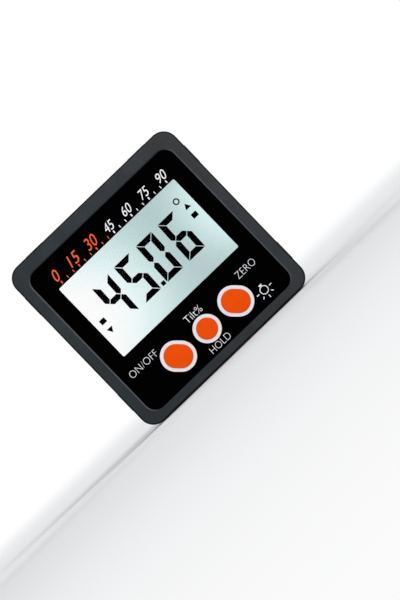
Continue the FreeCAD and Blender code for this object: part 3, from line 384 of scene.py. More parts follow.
def polished_black_acrylic():
    """Black acrylic: a clean mirror of the room, faintly uneven."""
    material, tree, skin = start_finish("panel_acrylic_black", Base_Color=linear("020203"), IOR=1.49)
    wiping = {"Vector": place_in_mm(tree), "Scale": 1 / WIPE_MARK, "Detail": 3.0}
    wiped = add(tree, "TexNoise", wiping).outputs["Fac"]
    rough = add(tree, "MapRange", {"Value": wiped, "To Min": 0.03, "To Max": 0.09}).outputs[0]
    drive(tree, skin, Roughness=rough)
    return material


wear(polished_black_acrylic(), "front_panel")

# %% [markdown]
# ## Clear window
# The window is a boss of clear acrylic that fills the opening in the panel. Real glass shaders stop lamp
# light from reaching what lies behind them, unless that light is allowed straight through: so shadow rays
# meet a plain transparent shader, and all other rays meet the acrylic.

# %% Clear acrylic
HAZE_PATCH = 5.0


def clear_acrylic():
    """Polished acrylic that lamps shine through."""
    material, tree, skin = start_finish("window_acrylic_clear", Base_Color=linear("FFFFFF"), IOR=1.49,
                                        Transmission_Weight=1.0)
    wiping = {"Vector": place_in_mm(tree), "Scale": 1 / HAZE_PATCH, "Detail": 2.0}
    wiped = add(tree, "TexNoise", wiping).outputs["Fac"]
    haze = add(tree, "MapRange", {"Value": wiped, "To Min": 0.0, "To Max": 0.02}).outputs[0]
    drive(tree, skin, Roughness=haze)
    lamp_ray = add(tree, "LightPath").outputs["Is Shadow Ray"]
    gap = add(tree, "BsdfTransparent", {"Color": linear("F8FAFA")}).outputs[0]
    either = add(tree, "MixShader", {0: lamp_ray, 1: skin.outputs[0], 2: gap}).outputs[0]
    tree.links.new(either, tree.nodes["Material Output"].inputs["Surface"])
    return material


wear(clear_acrylic(), "display_window")

# %% [markdown]
# ## Liquid crystal
# The display is a sandwich: a polarising film, two sheets of thin glass with the liquid crystal between
# them, a second film, and a light guide. Each clear layer takes a few percent of the light. A layer that
# is this thin needs no bending of light, so a transparent shader with a little gloss is enough.

# %% Clear layers of the display
def clear_layer(name, tint, gloss, flaw):
    """A thin clear sheet: its tint, how much it mirrors, and the size of its faint unevenness."""
    material, tree, _ = start_finish(name)
    tree.nodes.remove(tree.nodes["Principled BSDF"])
    uneven = add(tree, "TexNoise", {"Vector": place_in_mm(tree), "Scale": 1 / flaw}).outputs["Fac"]
    rough = add(tree, "MapRange", {"Value": uneven, "To Min": 0.03, "To Max": 0.08}).outputs[0]
    through = add(tree, "BsdfTransparent", {"Color": linear(tint)}).outputs[0]
    mirror = add(tree, "BsdfGlossy", {"Color": linear("FFFFFF"), "Roughness": rough}).outputs[0]
    layer = add(tree, "MixShader", {0: gloss, 1: through, 2: mirror}).outputs[0]
    tree.links.new(layer, tree.nodes["Material Output"].inputs["Surface"])
    return material


wear(clear_layer("polariser_film_front", "FEFEFE", 0.005, 3.0), "front_polariser")
wear(clear_layer("display_glass_soda_lime", "FEFEFE", 0.004, 8.0), "lcd_front_glass", "lcd_rear_glass")

# %% [markdown]
# The lamps of the backlight sit at the left edge of the light guide, so the display glows white there,
# turns cool green-grey across it, and brightens again where the guide's far end throws light back. The
# glow bows towards the middle of each end. A ramp along the width gives the colours, and the position
# that it reads is squeezed towards the dark part near the top and bottom edges, which bends the bands.

# %% Lit film behind the glass
window_low, window_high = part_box("display_window")
window_middle = (window_low + window_high) / 2
GLOW_LEFT = -20.5
GLOW_RIGHT = 20.5
DARK_ACROSS = 9.0
GLOW_HALF_HEIGHT = 12.0
BOW_LEFT = 0.22
BOW_RIGHT = 0.45
EDGE_DIMMING = 0.02
GLOW_STOPS = ((-20.0, "FCFCFC"), (-14.5, "F8FBFB"), (-8.3, "E9F6F6"), (-0.3, "CDE5E3"), (8.0, "B8CFCF"),
              (14.0, "BFD7D6"), (20.0, "D6EEED"))
BACKLIGHT = 1.15
LAMP_SHARE = 0.15


def lit_film():
    """The rear polariser, lit from behind by the guide and a little from the front by the room, its base
    colour a painted copy of the glow.
    """
    material, tree, film = start_finish("polariser_film_backlit", Roughness=0.6, Emission_Strength=BACKLIGHT)
    axes = add(tree, "SeparateXYZ", {0: place_in_mm(tree)}).outputs
    above = add(tree, "Math", {0: axes["Z"], 1: window_middle.z / MM}, operation="SUBTRACT").outputs[0]
    share = add(tree, "Math", {0: above, 1: GLOW_HALF_HEIGHT}, operation="DIVIDE").outputs[0]
    squared = add(tree, "Math", {0: share, 1: share}, operation="MULTIPLY").outputs[0]
    from_dark = add(tree, "Math", {0: axes["X"], 1: DARK_ACROSS}, operation="SUBTRACT").outputs[0]
    on_right = add(tree, "Math", {0: from_dark, 1: 0.0}, operation="GREATER_THAN").outputs[0]
    bow = add(tree, "MapRange", {"Value": on_right, "To Min": BOW_LEFT, "To Max": BOW_RIGHT}).outputs[0]
    pull = add(tree, "Math", {0: squared, 1: bow}, operation="MULTIPLY").outputs[0]
    squeeze = add(tree, "Math", {0: 1.0, 1: pull}, operation="SUBTRACT").outputs[0]
    bend = {0: from_dark, 1: squeeze, 2: DARK_ACROSS}
    bent = add(tree, "Math", bend, operation="MULTIPLY_ADD").outputs[0]
    along = add(tree, "MapRange", {"Value": bent, "From Min": GLOW_LEFT, "From Max": GLOW_RIGHT}).outputs[0]
    ramp = add(tree, "ValToRGB", {"Fac": along})
    ramp.color_ramp.interpolation = "CARDINAL"
    stops = ramp.color_ramp.elements
    while len(stops) < len(GLOW_STOPS):
        stops.new(1.0)
    for stop, (across, code) in zip(stops, GLOW_STOPS, strict=True):
        stop.position = (across - GLOW_LEFT) / (GLOW_RIGHT - GLOW_LEFT)
        stop.color = linear(code)
    black = linear("000000")
    dim = add(tree, "Math", {0: squared, 1: EDGE_DIMMING}, operation="MULTIPLY").outputs[0]
    dimmed = {FACTOR: dim, FIRST: ramp.outputs["Color"], SECOND: black}
    glow_colour = add(tree, "Mix", dimmed, data_type="RGBA").outputs[MIXED]
    # The base colour is the glow pattern at a low share: painted light, which the lamps then show as well
    room_share = {FACTOR: 1 - LAMP_SHARE, FIRST: glow_colour, SECOND: black}
    glow_pattern_painted_in_base = add(tree, "Mix", room_share, data_type="RGBA").outputs[MIXED]
    drive(tree, film, Emission_Color=glow_colour, Base_Color=glow_pattern_painted_in_base)
    return material


wear(lit_film(), "rear_polariser")

# %% [markdown]
# A lit segment is a patch where the crystal turns the light so that the second film stops it. It isn't
# ink: it is a shadow, so it is nearly black, bluish, and has no gloss of its own.

# %% Dark segments
CRYSTAL_CLOUD = 1.5


def crossed_segments():
    """Crystal that blocks the backlight, with a trace of unevenness in how well it does so."""
    material, tree, shadow = start_finish("lcd_segments_crossed", Roughness=0.8, Specular_IOR_Level=0.0)
    uneven, _ = clouds(tree, place_in_mm(tree), CRYSTAL_CLOUD, "020304", "07090B")
    drive(tree, shadow, Base_Color=uneven)
    return material


wear(crossed_segments(), "lcd_segments")

# %% [markdown]
# ## White bezel and orange keys
# The bezel is one white moulding whose three collars come through the panel. White ABS is bright but
# never pure white, and a little light soaks into it. The keys are orange ABS with the fine texture that
# stops a finger from sliding. Both get the grain of a moulding tool, each at its own size and strength.

# %% Moulded trim
DYE_CLOUD = 2.4


def moulded_plastic(name, colour, low_colour, rough, grain, depth, **constants):
    """Coloured plastic: two close shades in clouds, and a grain that only just catches the light."""
    material, tree, skin = start_finish(name, Roughness=rough, IOR=1.5, **constants)
    place = place_in_mm(tree)
    dyed, _ = clouds(tree, place, DYE_CLOUD, low_colour, colour)
    fine = add(tree, "TexNoise", {"Vector": place, "Scale": 1 / grain, "Detail": 2.0}).outputs["Fac"]
    bump = add(tree, "Bump", {"Height": fine, "Strength": 0.5, "Distance": depth * MM}).outputs[0]
    drive(tree, skin, Base_Color=dyed, Normal=bump)
    return material


wear(moulded_plastic("bezel_abs_white", "FBF5F6", "F4ECEE", 0.32, 0.6, 0.003), "button_bezel")
key_abs = moulded_plastic("key_abs_orange", "FA5400", "F24E00", 0.25, 0.3, 0.008, Specular_IOR_Level=0.12)
wear(key_abs, "on_off_button", "hold_button", "zero_button")

# %% [markdown]
# ## Foam and tape
# A gasket of black foam keeps dust off the display, a pad of the same foam presses it forward, and white
# foam tape holds the front panel. Foam is made of closed bubbles. Their cut walls catch the light and the
# bubbles between them stay dark, which is what a Voronoi pattern gives: cells with borders.

# %% Closed-cell foam
def closed_cell_foam(name, wall_colour, bubble_colour, bubble):
    """Foam with bubbles of a given size in millimetres."""
    material, tree, skin = start_finish(name, Roughness=0.9, Specular_IOR_Level=0.2)
    cells = {"Vector": place_in_mm(tree), "Scale": 1 / bubble}
    inward = add(tree, "TexVoronoi", cells, feature="DISTANCE_TO_EDGE").outputs["Distance"]
    depth = add(tree, "MapRange", {"Value": inward, "From Max": 0.25}).outputs[0]
    shade = {FACTOR: depth, FIRST: linear(wall_colour), SECOND: linear(bubble_colour)}
    cut = add(tree, "Mix", shade, data_type="RGBA").outputs[MIXED]
    bump = {"Height": depth, "Strength": 0.7, "Distance": 0.2 * bubble * MM}
    drive(tree, skin, Base_Color=cut, Normal=add(tree, "Bump", bump, invert=True).outputs[0])
    return material


wear(closed_cell_foam("foam_pe_black", "262627", "0E0E0F", 0.35), "lcd_gasket", "display_foam_pad")
wear(closed_cell_foam("tape_acrylic_foam_white", "EDEDE8", "D9D9D2", 0.25), "panel_tape")

# %% [markdown]
# ## Small plastic parts
# The key switches and the plungers that press them are glass-filled nylon, black and a little streaky where
# the fibres lie near the surface. The holder that clips round the display is white polycarbonate, and the
# reflector behind the light guide is white film. The recipe of the trim suits them all, with other numbers.

# %% Switches, plungers, holder and reflector
wear(moulded_plastic("switch_nylon_black", "202023", "141417", 0.5, 0.2, 0.006),
     "on_off_switch", "hold_switch", "zero_switch")
wear(moulded_plastic("plunger_nylon_black", "2A2A2D", "1C1C1F", 0.4, 0.25, 0.004),
     "on_off_plunger", "hold_plunger", "zero_plunger")
wear(moulded_plastic("holder_polycarbonate_white", "E6E6E2", "DBDBD6", 0.35, 0.5, 0.003), "lcd_holder")
wear(moulded_plastic("reflector_film_white", "EFEFEF", "E6E6E8", 0.45, 0.3, 0.001), "backlight_reflector")

# %% [markdown]
# ## Light guide and its lamps
# The guide is a slab of acrylic. White dots on its back scatter light towards the display, and they grow
# with distance from the lamps so that the far end gets its share. The dots here are a Voronoi pattern cut at
# a radius that rises across the width. The lamps are white packages with a yellow phosphor window.

# %% Dotted light guide
GUIDE_DOT_PITCH = 0.8
# The radius of a dot at the lamps and at the far end, as a share of the pitch
DOT_AT_LAMPS = 0.15
DOT_AT_END = 0.45
guide_low, guide_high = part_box("light_guide")


def dotted_guide():
    """Clear acrylic with printed dots that grow to the right."""
    material, tree, skin = start_finish("light_guide_acrylic_dotted", Roughness=0.08, IOR=1.49)
    place = place_in_mm(tree)
    dots = add(tree, "TexVoronoi", {"Vector": place, "Scale": 1 / GUIDE_DOT_PITCH, "Randomness": 0.0})
    across = add(tree, "SeparateXYZ", {0: place}).outputs["X"]
    growth = {"Value": across, "From Min": guide_low.x / MM, "From Max": guide_high.x / MM,
              "To Min": DOT_AT_LAMPS, "To Max": DOT_AT_END}
    radius = add(tree, "MapRange", growth).outputs[0]
    on_dot = add(tree, "Math", {0: dots.outputs["Distance"], 1: radius}, operation="LESS_THAN").outputs[0]
    shade = {FACTOR: on_dot, FIRST: linear("CFE6E4"), SECOND: linear("F4F8F8")}
    drive(tree, skin, Base_Color=add(tree, "Mix", shade, data_type="RGBA").outputs[MIXED])
    return material


wear(dotted_guide(), "light_guide")

# %% Lamps with phosphor windows
PHOSPHOR_HALF = 1.0
PHOSPHOR_GRAIN = 0.12
LED_LENGTH = 3.0
led_low, led_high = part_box("backlight_leds")


def phosphor_lamp():
    """A white package whose middle third is yellow phosphor in clear resin."""
    material, tree, skin = start_finish("lamp_package_phosphor", Roughness=0.3)
    place = place_in_mm(tree)
    up = add(tree, "SeparateXYZ", {0: place}).outputs["Z"]
    middle_z = (led_low.z + led_high.z) / 2 / MM
    apart = (led_high.z - led_low.z) / 2 / MM - LED_LENGTH / 2
    from_middle = add(tree, "Math", {0: up, 1: middle_z}, operation="SUBTRACT").outputs[0]
    side = add(tree, "Math", {0: from_middle}, operation="ABSOLUTE").outputs[0]
    window = add(tree, "Math", {0: side, 1: apart, 2: PHOSPHOR_HALF}, operation="COMPARE").outputs[0]
    yellow, _ = clouds(tree, place, PHOSPHOR_GRAIN, "E3C23A", "F2DC6B")
    shade = {FACTOR: window, FIRST: linear("ECECE8"), SECOND: yellow}
    drive(tree, skin, Base_Color=add(tree, "Mix", shade, data_type="RGBA").outputs[MIXED])
    return material


wear(phosphor_lamp(), "backlight_leds")

# %% [markdown]
# ## Seal and zebra strip
# A bead of epoxy seals the two glasses together. Above it stands the zebra strip, the rubber bar that
# carries the signals from the board: layers of black conducting silicone alternate with white insulating
# ones. Its real pitch is 0.18 mm, too fine to show, so it is drawn three times as coarse.

# %% Epoxy bead and striped rubber
ZEBRA_PITCH = 0.18 * 3
EPOXY_CLOUD = 1.2


def epoxy_bead():
    """Cured epoxy: pale amber with slow clouds, a little glossy."""
    material, tree, skin = start_finish("seal_epoxy_cured", Roughness=0.25, IOR=1.56)
    amber, _ = clouds(tree, place_in_mm(tree), EPOXY_CLOUD, "B9AE8C", "D2C9AB", detail=3.0)
    drive(tree, skin, Base_Color=amber)
    return material


def zebra_rubber():
    """Silicone whose black and white layers alternate along the strip."""
    material, tree, skin = start_finish("zebra_silicone_layered", Roughness=0.7, IOR=1.41)
    across = add(tree, "SeparateXYZ", {0: place_in_mm(tree)}).outputs["X"]
    fold = add(tree, "Math", {0: across, 1: ZEBRA_PITCH / 2}, operation="PINGPONG").outputs[0]
    layer = add(tree, "Math", {0: fold, 1: ZEBRA_PITCH / 4}, operation="GREATER_THAN").outputs[0]
    shade = {FACTOR: layer, FIRST: linear("161617"), SECOND: linear("C9CBD2")}
    drive(tree, skin, Base_Color=add(tree, "Mix", shade, data_type="RGBA").outputs[MIXED])
    return material


wear(epoxy_bead(), "lcd_seal")
wear(zebra_rubber(), "zebra_strip")

# %% [markdown]
# ## Circuit board
# The board is glass-epoxy laminate under green solder mask. The mask is glossy and lies over the copper, so
# tracks show as a lighter green that stands a little proud. Tracks run straight along and across the board,
# which the edges of a grid of bricks suggest, and tinned pads dot it at the pitch of component leads.

# %% Green board
TRACK_LENGTH = 5.08
TRACK_PITCH = 1.27
TRACK_WIDTH = 0.2
TRACK_STANDS = 0.03
PAD_PITCH = 2 * TRACK_PITCH
PAD_SHARE = 0.16


def board_laminate():
    """Green mask over copper tracks and tinned pads."""
    material, tree, skin = start_finish("board_glass_epoxy_masked", Roughness=0.3)
    axes = add(tree, "SeparateXYZ", {0: place_in_mm(tree)}).outputs
    flat = add(tree, "CombineXYZ", {"X": axes["X"], "Y": axes["Z"]}).outputs[0]
    layout = {"Vector": flat, "Scale": 1.0, "Mortar Size": TRACK_WIDTH, "Mortar Smooth": 0.1,
              "Brick Width": TRACK_LENGTH, "Row Height": TRACK_PITCH}
    tracks = add(tree, "TexBrick", layout).outputs["Fac"]
    pads = add(tree, "TexVoronoi", {"Vector": flat, "Scale": 1 / PAD_PITCH}).outputs["Distance"]
    on_pad = add(tree, "Math", {0: pads, 1: PAD_SHARE}, operation="LESS_THAN").outputs[0]
    mask = {FACTOR: tracks, FIRST: linear("12502F"), SECOND: linear("1F7040")}
    green = add(tree, "Mix", mask, data_type="RGBA").outputs[MIXED]
    shade = {FACTOR: on_pad, FIRST: green, SECOND: linear("C4C6C4")}
    printed = add(tree, "Mix", shade, data_type="RGBA").outputs[MIXED]
    bump = add(tree, "Bump", {"Height": tracks, "Strength": 0.5, "Distance": TRACK_STANDS * MM}).outputs[0]
    drive(tree, skin, Base_Color=printed, Metallic=on_pad, Normal=bump)
    return material


wear(board_laminate(), "main_board")

# %% [markdown]
# The controller is moulded in black epoxy filled with silica, which looks sandy, with a round dimple at the
# corner of its first lead. The tilt sensor is a grey ceramic box with a metal lid. The capacitors are tan
# ceramic with tinned ends. Each pattern is measured from the middle of its own piece.

# %% Packages on the board
FIRST_LEAD_MARK = 0.45
MARK_FROM_EDGE = 1.1
MARK_DEPTH = 0.1
SAND = 0.15
RIM = 0.6
CERAMIC_CLOUD = 0.6
CAPACITOR_LENGTH = 1.6
BARE_HALF = 0.45
TAN_CLOUD = 0.3


def distance_from(tree, place, centre, half_side):
    """How far a point lies outside a square round a centre, across and up, in millimetres."""
    axes = add(tree, "SeparateXYZ", {0: place}).outputs
    sides = []
    for axis, middle_of in (("X", centre.x / MM), ("Z", centre.z / MM)):
        apart = add(tree, "Math", {0: axes[axis], 1: middle_of}, operation="SUBTRACT").outputs[0]
        sides.append(add(tree, "Math", {0: apart}, operation="ABSOLUTE").outputs[0])
    farthest = add(tree, "Math", {0: sides[0], 1: sides[1]}, operation="MAXIMUM").outputs[0]
    return add(tree, "Math", {0: farthest, 1: half_side}, operation="SUBTRACT").outputs[0]


def moulded_epoxy():
    """Black epoxy with a fine sand in it and a dimple that marks the first lead."""
    material, tree, skin = start_finish("chip_epoxy_black", Roughness=0.6)
    place = place_in_mm(tree)
    low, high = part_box("controller_chip")
    corner = Vector((low.x + MARK_FROM_EDGE * MM, 0, high.z - MARK_FROM_EDGE * MM))
    flat = add(tree, "VectorMath", {0: place, 1: (1, 0, 1)}, operation="MULTIPLY").outputs[0]
    from_corner = add(tree, "VectorMath", {0: flat, 1: corner / MM}, operation="DISTANCE").outputs["Value"]
    dimple = add(tree, "Math", {0: from_corner, 1: FIRST_LEAD_MARK}, operation="LESS_THAN").outputs[0]
    sandy, _ = clouds(tree, place, SAND, "151517", "2A2A2C", detail=3.0)
    shade = {FACTOR: dimple, FIRST: sandy, SECOND: linear("0A0A0B")}
    marked = add(tree, "Mix", shade, data_type="RGBA").outputs[MIXED]
    sunk = {"Height": dimple, "Strength": 0.8, "Distance": MARK_DEPTH * MM}
    drive(tree, skin, Base_Color=marked, Normal=add(tree, "Bump", sunk, invert=True).outputs[0])
    return material


def lidded_ceramic():
    """A ceramic rim round a metal lid that is soldered on."""
    material, tree, skin = start_finish("sensor_ceramic_lidded", Roughness=0.35)
    place = place_in_mm(tree)
    low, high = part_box("tilt_sensor")
    lid_half = (high.x - low.x) / 2 / MM - RIM
    outside = distance_from(tree, place, (low + high) / 2, lid_half)
    on_rim = add(tree, "Math", {0: outside, 1: 0.0}, operation="GREATER_THAN").outputs[0]
    on_lid = add(tree, "Math", {0: 1.0, 1: on_rim}, operation="SUBTRACT").outputs[0]
    ceramic, _ = clouds(tree, place, CERAMIC_CLOUD, "6F6C66", "86827A")
    shade = {FACTOR: on_lid, FIRST: ceramic, SECOND: linear("D8C48E")}
    lidded = add(tree, "Mix", shade, data_type="RGBA").outputs[MIXED]
    drive(tree, skin, Base_Color=lidded, Metallic=on_lid)
    return material


def tinned_ceramic():
    """Tan ceramic bodies whose two ends are dipped in tin."""
    material, tree, skin = start_finish("capacitor_ceramic_tinned", Roughness=0.4)
    place = place_in_mm(tree)
    _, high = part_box("chip_capacitors")
    across = add(tree, "SeparateXYZ", {0: place}).outputs["X"]
    side = add(tree, "Math", {0: across}, operation="ABSOLUTE").outputs[0]
    body_middle = high.x / MM - CAPACITOR_LENGTH / 2
    on_body = add(tree, "Math", {0: side, 1: body_middle, 2: BARE_HALF}, operation="COMPARE").outputs[0]
    on_end = add(tree, "Math", {0: 1.0, 1: on_body}, operation="SUBTRACT").outputs[0]
    tan, _ = clouds(tree, place, TAN_CLOUD, "A9815A", "BC9570")
    shade = {FACTOR: on_end, FIRST: tan, SECOND: linear("CFD0D2")}
    tinned = add(tree, "Mix", shade, data_type="RGBA").outputs[MIXED]
    drive(tree, skin, Base_Color=tinned, Metallic=on_end)
    return material


wear(moulded_epoxy(), "controller_chip")
wear(lidded_ceramic(), "tilt_sensor")
wear(tinned_ceramic(), "chip_capacitors")

# %% [markdown]
# ## Plated metal
# The screws are zinc-plated steel, bluish and satin. The magnets, contacts, springs and the crystal's can
# are nickel-plated, warmer and brighter. Plating follows whatever lies under it: a pressed or ground part
# shows faint marks along one direction, a tumbled one shows none. So one recipe stretches its noise along
# an axis, and takes the colour, the roughness and how long the marks are.

# %% Zinc and nickel
EVEN = (1, 1, 1)


def plated_metal(name, colour, dull_colour, smooth, rough, mark, stretch=EVEN, depth=0.004):
    """Plating over steel: marks of a given width in millimetres, drawn out by a stretch along X, Y and Z."""
    material, tree, skin = start_finish(name, Metallic=1.0)
    drawn = add(tree, "VectorMath", {0: place_in_mm(tree), 1: stretch}, operation="DIVIDE").outputs[0]
    marks = add(tree, "TexNoise", {"Vector": drawn, "Scale": 1 / mark, "Detail": 3.0}).outputs["Fac"]
    clear = add(tree, "MapRange", {"Value": marks, "From Min": 0.3, "From Max": 0.7}).outputs[0]
    shade = {FACTOR: clear, FIRST: linear(dull_colour), SECOND: linear(colour)}
    plated = add(tree, "Mix", shade, data_type="RGBA").outputs[MIXED]
    gloss = add(tree, "MapRange", {"Value": clear, "To Min": rough, "To Max": smooth}).outputs[0]
    bump = add(tree, "Bump", {"Height": marks, "Strength": 0.3, "Distance": depth * MM}).outputs[0]
    drive(tree, skin, Base_Color=plated, Roughness=gloss, Normal=bump)
    return material


wear(plated_metal("screw_steel_zinc_plated", "C3C7CC", "A9ADB2", 0.28, 0.42, 0.3),
     "case_screws", "board_screws")
wear(plated_metal("magnet_neodymium_nickel_plated", "B2AEA7", "A19D95", 0.44, 0.54, 1.6, depth=0.001),
     "base_magnets", "top_magnets", "left_magnets", "right_magnets")
wear(plated_metal("contact_steel_nickel_plated", "D2CCC0", "BDB7AB", 0.22, 0.36, 0.12, stretch=(12, 1, 1)),
     "contact_bridge", "negative_contact", "positive_contact")
wear(plated_metal("spring_wire_nickel_plated", "CDC8BE", "A8A399", 0.25, 0.4, 0.1), "battery_springs")
wear(plated_metal("crystal_can_nickel_silver", "CFCDC6", "B5B3AC", 0.2, 0.3, 0.2, stretch=(1, 1, 10)),
     "crystal")

# %% [markdown]
# ## Cells
# Each cell is a drawn steel can in a shrunk plastic sleeve. The sleeve is plain here: slate blue with a grey
# band near the tip, and it stops short of both ends, where the bare rim shows. The two cells stand opposite
# ways, so the height of a point is read from the tip of its own cell.

# %% Sleeved cells
CELL_BAND = 9.0
SLEEVE_STOP = 0.5
TIP_HEIGHT = 1.0
SLEEVE_CLOUD = 3.0


def sleeved_cell(name, node, tip_up):
    """A cell whose sleeve ends short of its two ends and has a grey band near the tip."""
    material, tree, skin = start_finish(name, Coat_Weight=0.4, Coat_Roughness=0.1)
    low, high = (corner.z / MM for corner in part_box(node))
    place = place_in_mm(tree)
    up = add(tree, "SeparateXYZ", {0: place}).outputs["Z"]
    way = {0: high, 1: up} if tip_up else {0: up, 1: low}
    from_tip = add(tree, "Math", way, operation="SUBTRACT").outputs[0]
    starts = {0: from_tip, 1: TIP_HEIGHT + SLEEVE_STOP}
    below_rim = add(tree, "Math", starts, operation="GREATER_THAN").outputs[0]
    ends = {0: from_tip, 1: high - low - SLEEVE_STOP}
    before_end = add(tree, "Math", ends, operation="LESS_THAN").outputs[0]
    on_sleeve = add(tree, "Math", {0: below_rim, 1: before_end}, operation="MULTIPLY").outputs[0]
    on_band = add(tree, "Math", {0: from_tip, 1: CELL_BAND}, operation="LESS_THAN").outputs[0]
    blue, cloud = clouds(tree, place, SLEEVE_CLOUD, "2F4A61", "375570")
    banded = {FACTOR: on_band, FIRST: blue, SECOND: linear("B9BEC3")}
    sleeve = add(tree, "Mix", banded, data_type="RGBA").outputs[MIXED]
    shade = {FACTOR: on_sleeve, FIRST: linear("CBC7BF"), SECOND: sleeve}
    sleeved = add(tree, "Mix", shade, data_type="RGBA").outputs[MIXED]
    bare = add(tree, "Math", {0: 1.0, 1: on_sleeve}, operation="SUBTRACT").outputs[0]
    rough = add(tree, "MapRange", {"Value": cloud, "To Min": 0.25, "To Max": 0.35}).outputs[0]
    drive(tree, skin, Base_Color=sleeved, Metallic=bare, Roughness=rough)
    return material


wear(sleeved_cell("cell_sleeve_tip_up", "left_cell", True), "left_cell")
wear(sleeved_cell("cell_sleeve_tip_down", "right_cell", False), "right_cell")

# %% [markdown]
# ## Screen-printed legends
# Ink pushed through a mesh screen dries as a film a few hundredths of a millimetre thick with sharp edges.
# A picture of the letters would blur close up, so they are real shapes: text is drawn as an outline, turned
# into a thin solid, and laid on the panel. The ink has a faint weave from the screen, drawn coarse.

# %% Ink
INK_HEIGHT = 0.03
SCREEN_PITCH = 0.2
WEAVE_DEPTH = 0.005


def screen_ink(name, colour, thin_colour):
    """Matt ink with the faint weave that the mesh leaves, and a little less cover in its valleys."""
    material, tree, skin = start_finish(name, Roughness=0.55, Specular_IOR_Level=0.3)
    cover, weave = clouds(tree, place_in_mm(tree), SCREEN_PITCH, thin_colour, colour, detail=1.0)
    bump = add(tree, "Bump", {"Height": weave, "Strength": 0.3, "Distance": WEAVE_DEPTH * MM}).outputs[0]
    drive(tree, skin, Base_Color=cover, Normal=bump)
    return material


white_ink = screen_ink("ink_screen_white", "FDFDFE", "ECECEF")
orange_ink = screen_ink("ink_screen_orange", "FF6420", "F05816")
panel_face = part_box("front_panel")[0].y / MM
print("ink lies on y =", round(panel_face, 2), "mm")

# %% [markdown]
# Ink comes as flat shapes, each a list of corners, or as words. Both end as a solid: a face, its walls and
# its back, with every shared corner joined. A shape is drawn in millimetres and pushed back by the height of
# the ink. Words come from a text curve, whose own units are scaled until they fill the size that is asked.

# %% Helpers that lay ink
SHAPE_WELD = 0.001
LETTER_WELD = 0.0001


def lay(name, mesh, ink):
    """Give a mesh in millimetres its ink, scale it to metres, and fix it to the case."""
    mesh.materials.clear()
    mesh.materials.append(ink)
    mesh.transform(Matrix.Scale(MM, 4))
    piece = bpy.data.objects.new(name, mesh)
    bpy.context.scene.collection.objects.link(piece)
    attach(piece, "case")
    print(name, "laid with", len(mesh.polygons), "faces")


def lay_shapes(name, shapes, ink):
    """Flat shapes, each a list of corners across and up, as one thin solid that stands on the panel."""
    plan = bmesh.new()
    for corners in shapes:
        plan.faces.new([plan.verts.new((x, panel_face - INK_HEIGHT, z)) for x, z in corners])
    bmesh.ops.remove_doubles(plan, verts=plan.verts, dist=SHAPE_WELD)
    grown = bmesh.ops.extrude_face_region(plan, geom=plan.faces[:], use_keep_orig=True)["geom"]
    back = [corner for corner in grown if isinstance(corner, bmesh.types.BMVert)]
    bmesh.ops.translate(plan, vec=(0, INK_HEIGHT, 0), verts=back)
    bmesh.ops.recalc_face_normals(plan, faces=plan.faces[:])
    mesh = bpy.data.meshes.new(name)
    plan.to_mesh(mesh)
    plan.free()
    lay(name, mesh, ink)


def lay_words(name, words, centre, width, height, ink, slant=0.0, thinning=0.0):
    """Letters fitted to a width and height round a centre, across and up, with their strokes thinned."""
    outline = bpy.data.curves.new(name, "FONT")
    outline.body = words
    outline.shear = slant
    outline.offset = -thinning
    outline.extrude = INK_HEIGHT / 2
    drawn = bpy.data.objects.new(name + "_outline", outline)
    mesh = bpy.data.meshes.new_from_object(drawn)
    bpy.data.objects.remove(drawn)
    solid = bmesh.new()
    solid.from_mesh(mesh)
    bmesh.ops.remove_doubles(solid, verts=solid.verts, dist=LETTER_WELD)
    across = [v.co.x for v in solid.verts]
    up = [v.co.y for v in solid.verts]
    for v in solid.verts:
        x = (v.co.x - (min(across) + max(across)) / 2) / (max(across) - min(across)) * width
        z = (v.co.y - (min(up) + max(up)) / 2) / (max(up) - min(up)) * height
        v.co = (centre[0] + x, panel_face - INK_HEIGHT / 2 - v.co.z, centre[1] + z)
    solid.to_mesh(mesh)
    solid.free()
    lay(name, mesh, ink)


# %% [markdown]
# The legends name the keys. Each stands at a set distance from the middle of its key. Ink that is pushed
# through a fine mesh gives thin strokes, so each legend is drawn a little thinner than the font has it.

# %% Legends of the keys
LEGENDS = {
    # name: words, key, distance across and up from it, width, height, thinning in font units
    "legend_on_off": ("ON/OFF", "on_off_button", (-8.1, 4.9), 9.4, 1.95, 0.022),
    "legend_tilt": ("Tilt%", "hold_button", (-0.1, 5.3), 5.55, 2.05, 0.013),
    "legend_hold": ("HOLD", "hold_button", (-0.1, -5.1), 6.65, 1.9, 0.022),
    "legend_zero": ("ZERO", "zero_button", (7.7, 4.45), 6.3, 2.0, 0.023),
}


def middle_of_key(key):
    """The middle of a key, across and up, in millimetres."""
    low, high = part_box(key)
    return (low.x + high.x) / 2 / MM, (low.z + high.z) / 2 / MM


for name, (words, key, (across, up), width, height, thinning) in LEGENDS.items():
    key_x, key_z = middle_of_key(key)
    lay_words(name, words, (key_x + across, key_z + up), width, height, white_ink, thinning=thinning)

# %% [markdown]
# The small lamp by the third key says that the same key also lights the display: a bulb with its cap up and
# five rays. A stroke is a thin rectangle between two points, and the bulb is a ring of short strokes that
# share their corners.

# %% Lamp sign
BULB_FROM_KEY = (7.4, -3.05)
BULB_OUTER = 1.22
BULB_INNER = 1.0
BULB_STEPS = 40
CAP_FOOT = 1.28
CAP_TOP = 1.78
CAP_FOOT_HALF = 0.38
CAP_TOP_HALF = 0.52
RAY_WIDTH = 0.24
# The turn of each ray from straight right, in degrees, and how far its two ends lie from the middle
RAYS = ((180, 1.75, 2.6), (0, 1.75, 2.6), (-90, 1.75, 2.55), (-135, 1.8, 2.5), (-45, 1.8, 2.5))


def on_circle(radius, turn, centre):
    """A point at a distance from a centre and a turn from straight right, in degrees."""
    angle = math.radians(turn)
    return centre[0] + radius * math.cos(angle), centre[1] + radius * math.sin(angle)


